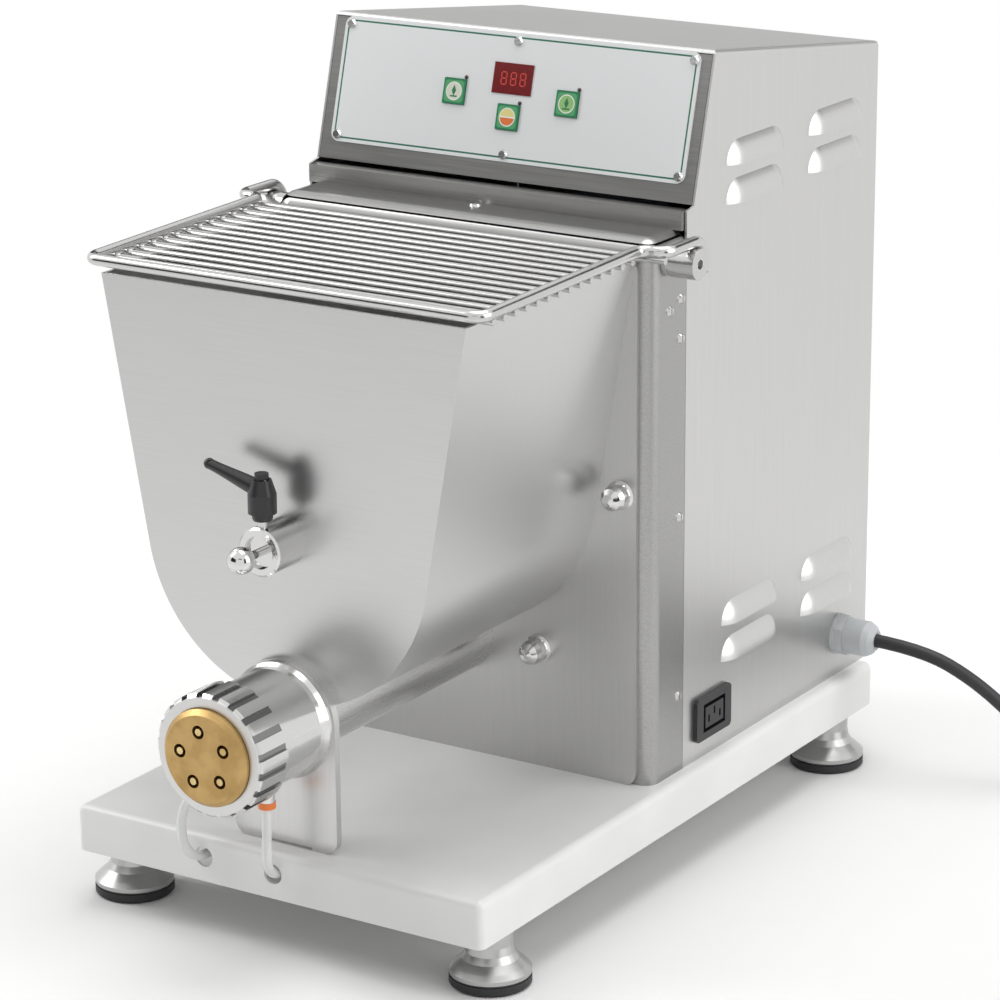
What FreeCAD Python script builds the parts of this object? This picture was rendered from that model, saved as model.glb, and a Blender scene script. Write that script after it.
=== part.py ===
import FreeCAD, Part
import Sketcher
import math
import os
import re
from FreeCAD import Placement, Rotation, Vector

# Electric pasta maker: a mixing tank with an auger barrel and a brass die in front of a
# motor cabinet, all on a folded base pan with four adjustable feet.
# Build coordinates: X across the machine, Y to the rear from the front of the base pan,
# Z up from the floor. Every finished piece is then moved along Y, so that the origin lies
# on the floor in the middle of the machine.

doc = FreeCAD.newDocument("pasta_maker")
sheet = doc.addObject("Spreadsheet::Sheet", "Sizes")

SIZES = [
    # base pan and feet
    ("pan_width", 300), ("pan_depth", 497), ("pan_top", 66), ("pan_height", 30),
    ("pan_sheet", 2), ("pan_round", 5),
    ("foot_inset_side", 16.5), ("foot_inset_end", 35), ("foot_radius", 25),
    ("foot_neck_radius", 14), ("sole_thick", 6), ("stud_radius", 5), ("foot_nut_radius", 9.2),
    ("foot_nut_thick", 8),
    # cabinet
    ("cabinet_width", 281), ("cabinet_rear", 502), ("cover_front", 251), ("cover_sheet", 1.5),
    ("fascia_foot_y", 259.5), ("fascia_foot_z", 430), ("fascia_head_y", 285),
    ("fascia_head_z", 522), ("cabinet_rear_top", 494), ("cover_round", 3),
    ("fascia_thick", 2),
    # front column that carries the tank
    ("column_front", 211), ("column_sheet", 3), ("column_round", 10), ("ledge_top", 417),
    ("ledge_round", 12),
    # louvres
    ("louvre_length", 73), ("louvre_rise", 15), ("louvre_out", 5.5), ("louvre_sheet", 1.2),
    ("louvre_front_y", 336), ("louvre_rear_y", 443), ("louvre_low_z", 123),
    ("louvre_high_z", 423), ("louvre_pitch", 24.5),
    # tank
    ("tank_front", 20), ("tank_sheet", 2), ("tank_top", 404.3), ("tank_half", 130),
    ("mixer_z", 257), ("trough_radius", 102), ("plate_thick", 3), ("plate_half", 131),
    ("plate_round", 8), ("plate_top", 405),
    ("nut_high_x", 120), ("nut_high_z", 256), ("nut_low_x", 60), ("nut_low_z", 145),
    ("acorn_radius", 8), ("acorn_collar", 9.5), ("acorn_length", 17), ("tank_stud_radius", 4),
    # auger line
    ("auger_z", 147), ("barrel_radius", 26), ("barrel_bore", 22), ("auger_clear", 0.6),
    ("auger_core", 9), ("auger_pitch", 38), ("support_thick", 5), ("support_half", 37.5),
    ("support_round", 9), ("support_notch", 2), ("head_radius", 34), ("head_base_radius", 36.5),
    ("ring_front", 60), ("ring_length", 28), ("ring_radius", 38.3), ("ring_lip", 5),
    ("ring_rib_depth", 2.2), ("ring_rib_gap", 4.6), ("ring_ribs", 20),
    ("die_nose_radius", 30), ("die_flange_radius", 33.2), ("die_flange_thick", 8),
    ("die_nose_out", 5.4), ("die_chamfer", 3), ("insert_ring_radius", 16.7),
    ("insert_bore", 4.2), ("insert_core", 2.2), ("die_holes", 5), ("insert_angle", 99.5),
    # mixer
    ("mixer_shaft_radius", 10), ("paddle_radius", 86.5), ("paddle_rod_radius", 5),
    ("boss_radius", 15), ("boss_length", 25.5), ("pin_radius", 10), ("pin_nose_radius", 6),
    ("pin_recess", 3), ("pin_neck_radius", 2.6), ("knob_radius", 8.2), ("knob_out", 17),
    # clamp lever
    ("clamp_y", -0.5), ("clamp_stem_radius", 2.8), ("hub_radius", 8.6), ("hub_bottom_z", 276),
    ("hub_height", 25), ("lever_reach", 39), ("lever_rise", 29), ("lever_root", 18),
    ("collar_radius", 6.2), ("collar_height", 4.5), ("hub_web", 13), ("hub_web_thick", 1.5),
    ("screw_head_radius", 4.2), ("screw_head_height", 3.4), ("screw_radius", 2),
    ("spring_radius", 3.2), ("spring_wire", 0.45), ("spring_turns", 3),
    # lid
    ("lid_inset", 0.5), ("lid_front", 20), ("lid_front_z", 411.8), ("lid_rod_radius", 3.7),
    ("lid_arm_out", 16.5), ("lid_arm_y", 197), ("hinge_y", 230), ("hinge_z", 402),
    ("hinge_boss_radius", 9.7), ("hinge_boss_length", 19), ("bush_flange", 2), ("bush_gap", 0.5),
    ("bush_wall", 3), ("hinge_pin_in", 20), ("hex_socket", 6), ("hinge_pin_radius", 4),
    ("lid_bar_radius", 2.25), ("weld_depth", 1), ("lid_bars", 15),
    # controls
    ("overlay_inset", 9), ("screw_inset", 13.5), ("overlay_low", 12), ("overlay_high", 93), ("overlay_thick", 1),
    ("overlay_round", 6), ("key_half", 8), ("key_side_x", 41.8), ("key_side_s", 52.5),
    ("key_mid_s", 40), ("key_proud", 1.2), ("key_travel", 0.8),
    ("display_half", 14.4), ("display_low", 54.5), ("display_high", 74),
    # mains outlet and cable gland
    ("outlet_y", 286.5), ("outlet_z", 93), ("outlet_length", 44), ("outlet_height", 29),
    ("outlet_proud", 3), ("gland_from_rear", 39), ("gland_z", 94.3), ("gland_hex", 12.5),
    ("gland_reach", 29), ("cord_radius", 4.5),
    # water cooling
    ("hose_radius", 3), ("hose_hole_left_x", 51.4), ("hose_hole_right_x", 0.2),
    ("hose_hole_z", 52), ("hose_hole_radius", 6.5), ("bulkhead_x", 30), ("bulkhead_reach", 14),
    ("bulkhead_thread", 5), ("fitting_y", 9), ("fitting_radius", 5), ("fitting_length", 10),
    # drive
    ("gear_module", 2.5), ("gear_face", 18), ("auger_teeth", 38), ("mixer_teeth", 50),
    ("pinion_teeth", 16), ("gear_y", 232), ("gear_backlash", 0.5), ("drive_shaft_radius", 10),
    ("pinion_shaft", 7), ("frame_half", 75), ("frame_front", 10), ("frame_rear", 8),
    ("frame_room", 58), ("pillar_radius", 6), ("bearing_radius", 16), ("pinion_bearing", 13),
    ("shaft_past_gear", 14), ("reducer_radius", 50), ("reducer_length", 42), ("motor_radius", 62), ("motor_length", 105), ("shaft_clear", 0.05), ("gap", 0.3),
]
for row, (word, number) in enumerate(SIZES, start=1):
    sheet.set("A%d" % row, word)
    sheet.set("B%d" % row, str(number))
    sheet.setAlias("B%d" % row, word)
doc.recompute()
WORDS = {word for word, number in SIZES}


def size(word):
    return float(getattr(sheet, word))


def on_sheet(text):
    """Point every size name in an expression at the sheet."""
    return re.sub(r"[a-z_]+", lambda m: "Sizes." + m.group(0) if m.group(0) in WORDS else m.group(0), str(text))


# The middle of the machine along Y, from the die's face to the rear water connectors.
MIDDLE = "((pan_depth + bulkhead_reach - ring_front - die_nose_out) / 2)"
middle = (size("pan_depth") + size("bulkhead_reach") - size("ring_front") - size("die_nose_out")) / 2

TO_Y = Rotation(Vector(1, 0, 0), -90)
TO_FRONT = Rotation(Vector(1, 0, 0), 90)
TO_X = Rotation(Vector(0, 1, 0), 90)
TO_LEFT = Rotation(Vector(0, 1, 0), -90)
UPRIGHT = Rotation()

nodes = []
seats = {}


def bind(obj, **sizes):
    for name, text in sizes.items():
        obj.setExpression(name, on_sheet(text))
    return obj


def put(obj, x="0", y="0", z="0", turn=UPRIGHT):
    obj.Placement = Placement(Vector(), turn)
    for word, text in zip("xyz", (x, y, z)):
        obj.setExpression("Placement.Base." + word, on_sheet(text))
    seats[obj.Name] = y
    return obj


def node(obj, label):
    """Name a finished piece and move it so that the machine is centred on the origin."""
    obj.Label = label
    y = "(%s) - %s" % (seats.get(obj.Name, "0"), MIDDLE)
    obj.setExpression("Placement.Base.y", on_sheet(y))
    nodes.append(obj)
    return obj


def block(length, width, height, x="0", y="0", z="0", turn=UPRIGHT):
    obj = doc.addObject("Part::Box", "Block")
    bind(obj, Length=length, Width=width, Height=height)
    return put(obj, x, y, z, turn)


def centred(length, width, height, y, z):
    return block(length, width, height, "-(%s) / 2" % length, y, z)


def rod(radius, length, x="0", y="0", z="0", turn=UPRIGHT):
    obj = doc.addObject("Part::Cylinder", "Rod")
    bind(obj, Radius=radius, Height=length)
    return put(obj, x, y, z, turn)


def ball(radius, x="0", y="0", z="0"):
    obj = doc.addObject("Part::Sphere", "Ball")
    bind(obj, Radius=radius)
    return put(obj, x, y, z)


def cone(low, high, length, x="0", y="0", z="0", turn=UPRIGHT):
    obj = doc.addObject("Part::Cone", "Taper")
    bind(obj, Radius1=low, Radius2=high, Height=length)
    return put(obj, x, y, z, turn)


def hexagon(across, length, x="0", y="0", z="0", turn=UPRIGHT):
    obj = doc.addObject("Part::Prism", "Hexagon")
    obj.Polygon = 6
    bind(obj, Circumradius="(%s) / sqrt(3)" % across, Height=length)
    return put(obj, x, y, z, turn)


def fuse(*parts):
    obj = doc.addObject("Part::MultiFuse", "Joined")
    obj.Shapes = list(parts)
    obj.Refine = True
    return obj


def cut(base, *tools):
    obj = doc.addObject("Part::Cut", "Cut")
    obj.Base = base
    obj.Tool = tools[0] if len(tools) == 1 else group(*tools)
    obj.Refine = True
    return obj


def group(*parts):
    obj = doc.addObject("Part::Compound", "Set")
    obj.Links = list(parts)
    return obj


def mirror(part, normal=Vector(1, 0, 0), base_y=None):
    obj = doc.addObject("Part::Mirroring", "Mirrored")
    obj.Source = part
    obj.Normal = normal
    if base_y:
        obj.setExpression("Base.y", on_sheet(base_y))
    return obj


def pair(part):
    return group(part, mirror(part))


def feature(shape, label):
    """A finished piece whose shape is worked out in code from the sheet's values."""
    obj = doc.addObject("Part::Feature", "Form")
    still = shape.copy()
    still.Placement = Placement()
    obj.Shape = still.transformed(shape.Placement.toMatrix(), True)
    return node(obj, label)


def body(name):
    return doc.addObject("PartDesign::Body", name)


def sketch(owner, plane, points, name="Outline"):
    """A closed outline of straight lines, each corner tied to the sheet."""
    outline = owner.newObject("Sketcher::SketchObject", name)
    origin = [f for f in owner.Origin.OriginFeatures if f.Role == plane][0]
    outline.AttachmentSupport = (origin, [""])
    outline.MapMode = "FlatFace"
    count = len(points)
    for i in range(count):
        a = 2 * math.pi * i / count
        b = 2 * math.pi * (i + 1) / count
        start = Vector(50 * math.cos(a), 50 * math.sin(a), 0)
        end = Vector(50 * math.cos(b), 50 * math.sin(b), 0)
        outline.addGeometry(Part.LineSegment(start, end), False)
    for i in range(count):
        outline.addConstraint(Sketcher.Constraint("Coincident", i, 2, (i + 1) % count, 1))
    for i, (across, up) in enumerate(points):
        for kind, text in (("DistanceX", across), ("DistanceY", up)):
            index = outline.addConstraint(Sketcher.Constraint(kind, -1, 1, i, 1, 1.0 + i))
            outline.setExpression("Constraints[%d]" % index, on_sheet(text))
    return outline


def turned(points, x="0", y="0", z="0", turn=UPRIGHT, name="Turned"):
    """A lathe part: (radius, height) corners turned about the local Z axis."""
    owner = body(name)
    outline = sketch(owner, "XZ_Plane", points)
    doc.recompute()
    spin = owner.newObject("PartDesign::Revolution", "Revolution")
    spin.Profile = outline
    spin.ReferenceAxis = (outline, ["V_Axis"])
    spin.Angle = 360
    return put(owner, x, y, z, turn)


def plate(plane, points, depth, middled=False, name="Plate", reverse=False):
    """A flat or folded part: an outline pushed out by a depth."""
    owner = body(name)
    outline = sketch(owner, plane, points)
    pad = owner.newObject("PartDesign::Pad", "Pad")
    pad.Profile = outline
    pad.Midplane = middled
    pad.Reversed = reverse
    pad.setExpression("Length", on_sheet(depth))
    return owner


def pocket(owner, plane, points, depth, middled=True, reverse=False):
    outline = sketch(owner, plane, points, "Inner")
    doc.recompute()
    tool = owner.newObject("PartDesign::Pocket", "Pocket")
    tool.Profile = outline
    tool.Midplane = middled
    tool.Reversed = reverse
    tool.setExpression("Length", on_sheet(depth))
    return tool


def round_edges(owner, radius, wanted):
    """Round the edges of the last feature that the test picks out."""
    doc.recompute()
    tip = owner.Tip
    names = ["Edge%d" % (i + 1) for i, e in enumerate(tip.Shape.Edges) if wanted(e)]
    if not names:
        raise RuntimeError("no edge to round on " + owner.Name)
    tool = owner.newObject("PartDesign::Fillet", "Fillet")
    tool.Base = (tip, names)
    tool.setExpression("Radius", on_sheet(radius))
    doc.recompute()
    return tool


def along(edge, axis):
    if edge.Curve.TypeId != "Part::GeomLine":
        return False
    d = edge.Vertexes[-1].Point - edge.Vertexes[0].Point
    return abs(abs(d.normalize().dot(axis)) - 1) < 1e-6


X, Y, Z = Vector(1, 0, 0), Vector(0, 1, 0), Vector(0, 0, 1)


FOOT_X = "pan_width / 2 - foot_inset_side"
FOOT_Y = "foot_inset_end"


def four(part):
    both = pair(part)
    return group(both, mirror(both, Y, "pan_depth / 2"))


# Base pan and feet

def base_pan():
    owner = plate("XY_Plane", [
        ("-pan_width / 2", "0"), ("pan_width / 2", "0"),
        ("pan_width / 2", "pan_depth"), ("-pan_width / 2", "pan_depth")], "pan_height", name="Pan")
    round_edges(owner, "pan_round", lambda e: along(e, Z))
    height = size("pan_height")
    round_edges(owner, "pan_round", lambda e: e.BoundBox.ZMin > height - 1e-3)
    tip = owner.Tip
    bottom = ["Face%d" % (i + 1) for i, f in enumerate(tip.Shape.Faces) if f.BoundBox.ZMax < 1e-3]
    shell = owner.newObject("PartDesign::Thickness", "Thickness")
    shell.Base = (tip, bottom)
    shell.Reversed = True
    shell.setExpression("Value", on_sheet("pan_sheet"))
    put(owner, "0", "0", "pan_top - pan_height")
    through = "2 * pan_sheet + 2"
    rear = "pan_depth - pan_sheet - 1"
    holes = [
        rod("hose_hole_radius", through, "-hose_hole_left_x", "-1", "hose_hole_z", TO_Y),
        rod("hose_hole_radius", through, "hose_hole_right_x", "-1", "hose_hole_z", TO_Y),
        rod("bulkhead_thread + gap", through, "bulkhead_x", rear, "hose_hole_z", TO_Y),
        rod("bulkhead_thread + gap", through, "-bulkhead_x", rear, "hose_hole_z", TO_Y)]
    node(cut(owner, *holes), "base_pan")


def feet():
    foot = turned([
        ("0", "0"), ("foot_radius - 1", "0"), ("foot_radius", "1.5"), ("foot_radius", "4"),
        ("foot_radius - 3", "7"), ("foot_neck_radius + 3.5", "11"), ("foot_neck_radius + 1", "15"),
        ("foot_neck_radius", "20"), ("foot_neck_radius", "pan_top - pan_height - sole_thick"),
        ("foot_neck_radius - 3", "pan_top - pan_sheet - foot_nut_thick - sole_thick - 0.5"),
        ("0", "pan_top - pan_sheet - foot_nut_thick - sole_thick - 0.5")],
        FOOT_X, FOOT_Y, "sole_thick", name="Foot")
    stud = rod("stud_radius", "foot_nut_thick + 4", FOOT_X, FOOT_Y, "pan_top - pan_sheet - foot_nut_thick - 4.5")
    node(four(fuse(foot, stud)), "adjustable_feet")
    sole = turned([
        ("0", "0"), ("foot_radius - 1.5", "0"), ("foot_radius", "1.5"),
        ("foot_radius", "sole_thick"), ("0", "sole_thick")], FOOT_X, FOOT_Y, "0", name="Sole")
    node(four(sole), "foot_soles")
    nut = cut(
        hexagon("1.732 * foot_nut_radius", "foot_nut_thick", FOOT_X, FOOT_Y, "pan_top - pan_sheet - foot_nut_thick"),
        rod("stud_radius", "foot_nut_thick", FOOT_X, FOOT_Y, "pan_top - pan_sheet - foot_nut_thick"))
    node(four(nut), "foot_nuts")


# Cabinet

def cabinet():
    side = [
        ("cover_front", "pan_top"), ("cover_front", "fascia_foot_z - 2"),
        ("fascia_foot_y", "fascia_foot_z"), ("fascia_head_y", "fascia_head_z"),
        ("cabinet_rear", "cabinet_rear_top"), ("cabinet_rear", "pan_top")]
    cover = plate("YZ_Plane", side, "cabinet_width", True, "Cover")
    half = size("cabinet_width") / 2
    head = size("fascia_head_z")
    rear_top = size("cabinet_rear_top")
    round_edges(cover, "cover_round", lambda e: e.BoundBox.ZMin > rear_top - 1 and e.BoundBox.ZMax > head - 1)
    inside = [
        ("cover_front - 5", "pan_top - 5"), ("cover_front - 5", "fascia_foot_z"),
        ("fascia_foot_y - 2", "fascia_foot_z"),
        ("fascia_head_y - 2", "fascia_head_z - 1.6 * cover_sheet"),
        ("cabinet_rear + 5", "cabinet_rear_top - 1.6 * cover_sheet - 1"),
        ("cabinet_rear + 5", "pan_top - 5")]
    pocket(cover, "YZ_Plane", inside, "cabinet_width - 2 * cover_sheet")
    cover = put(cover)
    louvres, slots = louvre_set()
    wall = "cover_sheet + 2"
    outlet_hole = block(wall, "outlet_length - 6", "outlet_height - 5",
                        "cabinet_width / 2 - cover_sheet - 1",
                        "outlet_y - (outlet_length - 6) / 2", "outlet_z - (outlet_height - 5) / 2")
    gland_hole = rod("gland_hex - 2.5 + gap", wall, "cabinet_width / 2 - cover_sheet - 1",
                     "(cabinet_rear - gland_from_rear)", "gland_z", TO_X)
    node(fuse(cut(cover, outlet_hole, gland_hole, slots), louvres), "cabinet_cover")


def louvre_set():
    """Pressed scoops, each the top quarter of a round-ended bar, open at its lower edge."""
    length, rise, out = size("louvre_length"), size("louvre_rise"), size("louvre_out")
    wall = size("louvre_sheet")
    radius = (rise ** 2 + out ** 2) / (2 * out)
    centre = size("cabinet_width") / 2 + out - radius
    half = length / 2 - math.sqrt(max(radius ** 2 - (radius - out) ** 2, 0))

    def scoop(r):
        bar = Part.makeCylinder(r, 2 * half, Vector(centre, -half, 0), Y)
        ends = [Part.makeSphere(r, Vector(centre, s * half, 0)) for s in (-1, 1)]
        return bar.fuse(ends).removeSplitter()

    face = size("cabinet_width") / 2
    window = Part.makeBox(out + 5, length + 10, rise + 5, Vector(face - 0.2, -length / 2 - 5, 0))
    inner_window = Part.makeBox(out + 5, length, rise, Vector(face - 0.3, -length / 2, -0.5))
    shell = scoop(radius).common(window).cut(scoop(radius - wall).common(inner_window))
    slot = Part.makeBox(6, length - 8, 0.45 * rise, Vector(face - 3, -length / 2 + 4, 0))
    shells, slots = [], []
    for y in (size("louvre_front_y"), size("louvre_rear_y")):
        for low in (size("louvre_low_z"), size("louvre_high_z")):
            for k in range(2):
                step = Vector(0, y, low + k * size("louvre_pitch"))
                for shape, store in ((shell, shells), (slot, slots)):
                    moved = shape.copy()
                    moved.translate(step)
                    store.append(moved)
                    store.append(moved.mirror(Vector(), X))
    louvres = doc.addObject("Part::Feature", "Louvres")
    louvres.Shape = Part.makeCompound(shells)
    openings = doc.addObject("Part::Feature", "LouvreSlots")
    openings.Shape = Part.makeCompound(slots)
    return louvres, openings


def rear_panel():
    panel = centred("cabinet_width - 2 * cover_sheet - 2 * gap", "cover_sheet",
                    "cabinet_rear_top - 2.5 * cover_sheet - pan_top - 2 * gap - 2",
                    "cabinet_rear - cover_sheet - gap", "pan_top")
    slots = []
    for i in range(6):
        slots.append(block("60", "cover_sheet + 2", "5", "-90", "cabinet_rear - 2 * cover_sheet - 1",
                           "cabinet_rear_top - 60 - %d" % (14 * i)))
        slots.append(block("60", "cover_sheet + 2", "5", "30", "cabinet_rear - 2 * cover_sheet - 1",
                           "cabinet_rear_top - 60 - %d" % (14 * i)))
    node(cut(panel, *slots), "rear_panel")


# Slanted fascia with its controls. Local frame: X across, local Y up the slope, local Z out.

def fascia_turn():
    run = size("fascia_head_y") - size("fascia_foot_y")
    rise = size("fascia_head_z") - size("fascia_foot_z")
    return Rotation(X, 90 - math.degrees(math.atan2(run, rise)))


def on_fascia(part):
    """Seat a part drawn in the fascia's own frame."""
    part.Placement = Placement(Vector(), fascia_turn())
    part.setExpression("Placement.Base.y", on_sheet("fascia_foot_y"))
    part.setExpression("Placement.Base.z", on_sheet("fascia_foot_z"))
    seats[part.Name] = "fascia_foot_y"
    return part


def key_plate(half, low, high, x, depth, top):
    return block("2 * (%s)" % half, "(%s) - (%s)" % (high, low), depth,
                 "(%s) - (%s)" % (x, half), low, "(%s) - (%s)" % (top, depth))


KEYS = (("key_left", "-key_side_x", "key_side_s"), ("key_start_stop", "0", "key_mid_s"),
        ("key_right", "key_side_x", "key_side_s"))


def controls():
    slope = "sqrt(pow(fascia_head_y - fascia_foot_y; 2) + pow(fascia_head_z - fascia_foot_z; 2))"
    panel = block("cabinet_width - 2 * cover_sheet - 2 * gap", slope + " - 2 * cover_sheet - 0.7", "fascia_thick",
                  "-(cabinet_width - 2 * cover_sheet - 2 * gap) / 2", "0.5", "-fascia_thick")
    windows = []
    for x, s in ((k[1], k[2]) for k in KEYS):
        windows.append(key_plate("key_half - 1.5", s + " - key_half + 1.5", s + " + key_half - 1.5", x, "20", "5"))
    windows.append(key_plate("display_half - 1", "display_low + 1", "display_high - 1", "0", "20", "5"))
    windows += [rod("2", "9", x, s, "-4") for x, s in OVERLAY_SCREWS]
    posts = [rod("3", "8.5", x, s, "-fascia_thick - 8") for x in ("-70", "70") for s in ("27", "79")]
    node(on_fascia(group(fuse(cut(panel, *windows), *posts))), "control_fascia")
    overlay = plate("XY_Plane", [
        ("overlay_inset - cabinet_width / 2", "overlay_low"), ("cabinet_width / 2 - overlay_inset", "overlay_low"),
        ("cabinet_width / 2 - overlay_inset", "overlay_high"), ("overlay_inset - cabinet_width / 2", "overlay_high")], "overlay_thick", name="Overlay")
    round_edges(overlay, "overlay_round", lambda e: along(e, Z))
    holes = [key_plate("key_half + gap", s + " - key_half - gap", s + " + key_half + gap", x, "9", "5")
             for name, x, s in KEYS]
    holes.append(key_plate("display_half + 0.05", "display_low - 0.05", "display_high + 0.05", "0", "9", "5"))
    screws = [rod("2", "9", x, s, "-4") for x, s in OVERLAY_SCREWS]
    node(on_fascia(group(cut(put(overlay), *holes, *screws))), "control_overlay")
    for name, x, s in KEYS:
        cap = key_plate("key_half", s + " - key_half", s + " + key_half", x, "key_proud", "overlay_thick + key_proud")
        stem = key_plate("key_half - 2", s + " - key_half + 2", s + " + key_half - 2", x,
                         "overlay_thick + fascia_thick", "overlay_thick")
        node(on_fascia(group(fuse(cap, stem))), name)
    window = key_plate("display_half", "display_low", "display_high", "0", "overlay_thick + 0.6", "overlay_thick + 0.6")
    node(on_fascia(group(window)), "display_window")
    leds = [ball("1.3", "(%s) + 7.3" % x, "(%s) + 9.6" % s, "overlay_thick") for name, x, s in KEYS]
    above = block("cabinet_width", "2 * overlay_high", "5", "-cabinet_width / 2", "0", "overlay_thick")
    lights = doc.addObject("Part::Common", "Lights")
    lights.Base = group(*leds)
    lights.Tool = above
    node(on_fascia(group(lights)), "indicator_leds")
    heads = []
    for x, s in OVERLAY_SCREWS:
        head = cone("3.2", "2.2", "1.6", x, s, "overlay_thick")
        shank = rod("1.95", "overlay_thick + fascia_thick", x, s, "-fascia_thick")
        slot = block("8", "0.8", "1", "(%s) - 4" % x, "(%s) - 0.4" % s, "overlay_thick + 0.9")
        heads.append(cut(fuse(head, shank), slot))
    node(group(on_fascia(group(*heads)), side_screws()), "slotted_screws")
    board = block("150", "62", "1.6", "-75", "22", "-fascia_thick - 9.6")
    switches = [block("6", "6", "8.1 - key_travel - 1.6", "(%s) - 3" % x, "(%s) - 3" % s, "-fascia_thick - 8.1")
                for name, x, s in KEYS]
    module = key_plate("display_half - 1.5", "display_low + 1.5", "display_high - 1.5", "0", "fascia_thick + 8.1", "0")
    node(on_fascia(group(fuse(board, module, *switches))), "control_board")


OVERLAY_SCREWS = [(x, s) for x in ("screw_inset - cabinet_width / 2", "0", "cabinet_width / 2 - screw_inset") for s in ("overlay_low + 4.5", "overlay_high - 5")]


# Front column: the folded sheet between tank and cabinet, with its ledge

def column():
    owner = plate("XY_Plane", [
        ("-cabinet_width / 2", "column_front"), ("cabinet_width / 2", "column_front"),
        ("cabinet_width / 2", "cover_front - gap"), ("-cabinet_width / 2", "cover_front - gap")],
        "ledge_top - pan_top", name="Column")
    round_edges(owner, "column_round", lambda e: along(e, Z) and e.BoundBox.YMax < size("column_front") + 1)
    top = size("ledge_top") - size("pan_top")
    front = size("column_front")
    round_edges(owner, "ledge_round", lambda e: along(e, X) and e.BoundBox.ZMin > top - 1 and e.BoundBox.YMax < front + 1)
    pocket(owner, "XY_Plane", [
        ("-cabinet_width / 2 + column_sheet", "column_front + column_sheet"),
        ("cabinet_width / 2 - column_sheet", "column_front + column_sheet"),
        ("cabinet_width / 2 - column_sheet", "cover_front + 5"),
        ("-cabinet_width / 2 + column_sheet", "cover_front + 5")],
        "2 * (ledge_top - pan_top - column_sheet)")
    owner = put(owner, "0", "0", "pan_top")
    riser = centred("cabinet_width - 2 * cover_sheet - 2 * gap", "column_sheet", "fascia_foot_z - ledge_top - 3.5",
                    "cover_front - gap - column_sheet", "ledge_top - 0.5")
    shelf = centred("cabinet_width - 2 * cover_sheet - 2 * gap", "10", "2", "cover_front - gap - column_sheet",
                    "fascia_foot_z - 4")
    bores = [
        rod("drive_shaft_radius + 6", "2 * column_sheet", "0", "column_front - 1", "mixer_z", TO_Y),
        rod("drive_shaft_radius + 6", "2 * column_sheet", "0", "column_front - 1", "auger_z", TO_Y),
        rod("hinge_pin_radius + bush_wall", "cabinet_width + 10", "-cabinet_width / 2 - 5", "hinge_y", "hinge_z", TO_X)]
    studs = [rod("tank_stud_radius + gap", "2 * column_sheet", x, "column_front - 1", z, TO_Y)
             for x, z in STUDS]
    node(cut(fuse(owner, riser, shelf), *bores, pair(group(*studs))), "front_column")
    plug = turned([("0", "0"), ("4.2", "0"), ("3.6", "1.2"), ("0", "1.6")],
                  "-7", "cover_front - 9", "ledge_top", name="Plug")
    node(plug, "ledge_plug")

def side_screws():
    screws = []
    for y, z in SIDE_SCREWS:
        head = cone("3.3", "2.4", "1.4", "cabinet_width / 2", y, z, TO_X)
        slot = block("1", "0.8", "8", "cabinet_width / 2 + 0.7", "(%s) - 0.4" % y, "(%s) - 4" % z)
        screws.append(cut(head, slot))
    return pair(group(*screws))


STUDS = (("nut_high_x", "nut_high_z"), ("nut_low_x", "nut_low_z"))
SIDE_SCREWS = (("cover_front - 6.5", "375"), ("cover_front - 20", "370"), ("cover_front - 6.5", "350"),
               ("cover_front - 6.5", "235"), ("cover_front - 6.5", "117"))


# Tank: a trough round the mixer's axis, with straight flaring sides

def trough_face(radius, half, top):
    """The trough's cross-section: an arc round the mixer and its two tangent sides."""
    axis = size("mixer_z")
    rise = top - axis
    reach = math.hypot(half, rise)
    lean = math.atan2(rise, half) - math.acos(radius / reach)
    touch = (radius * math.cos(lean), axis + radius * math.sin(lean))
    right = Vector(touch[0], 0, touch[1])
    left = Vector(-touch[0], 0, touch[1])
    arc = Part.Arc(left, Vector(0, 0, axis - radius), right).toShape()
    edges = [
        Part.makeLine(Vector(-half, 0, top), left), arc,
        Part.makeLine(right, Vector(half, 0, top)),
        Part.makeLine(Vector(half, 0, top), Vector(-half, 0, top))]
    return Part.Face(Part.Wire(edges))


def tank():
    front, rear = size("tank_front"), size("column_front") - size("plate_thick")
    wall, top, half = size("tank_sheet"), size("tank_top"), size("tank_half")
    radius = size("trough_radius")
    outer = trough_face(radius, half, top)
    outer.translate(Vector(0, front, 0))
    outer = outer.extrude(Vector(0, rear - front, 0))
    inner = trough_face(radius - wall, half - wall, top + 0.01)
    inner.translate(Vector(0, front + wall, 0))
    inner = inner.extrude(Vector(0, rear - front, 0))
    auger = size("auger_z")
    barrel_room = Part.makeCylinder(size("barrel_radius"), rear, Vector(0, 0, auger), Y)
    boss_room = Part.makeCylinder(size("pin_radius") + size("shaft_clear"), 20, Vector(0, front - 5, size("mixer_z")), Y)
    shell = outer.cut([inner, barrel_room, boss_room])
    feature(shell, "tank")
    tube = Part.makeCylinder(size("barrel_radius"), rear - front, Vector(0, front, auger), Y)
    bore = Part.makeCylinder(size("barrel_bore"), rear - front, Vector(0, front, auger), Y)
    mouth = inner.copy()
    feature(tube.cut([bore, mouth]), "auger_barrel")


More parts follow.
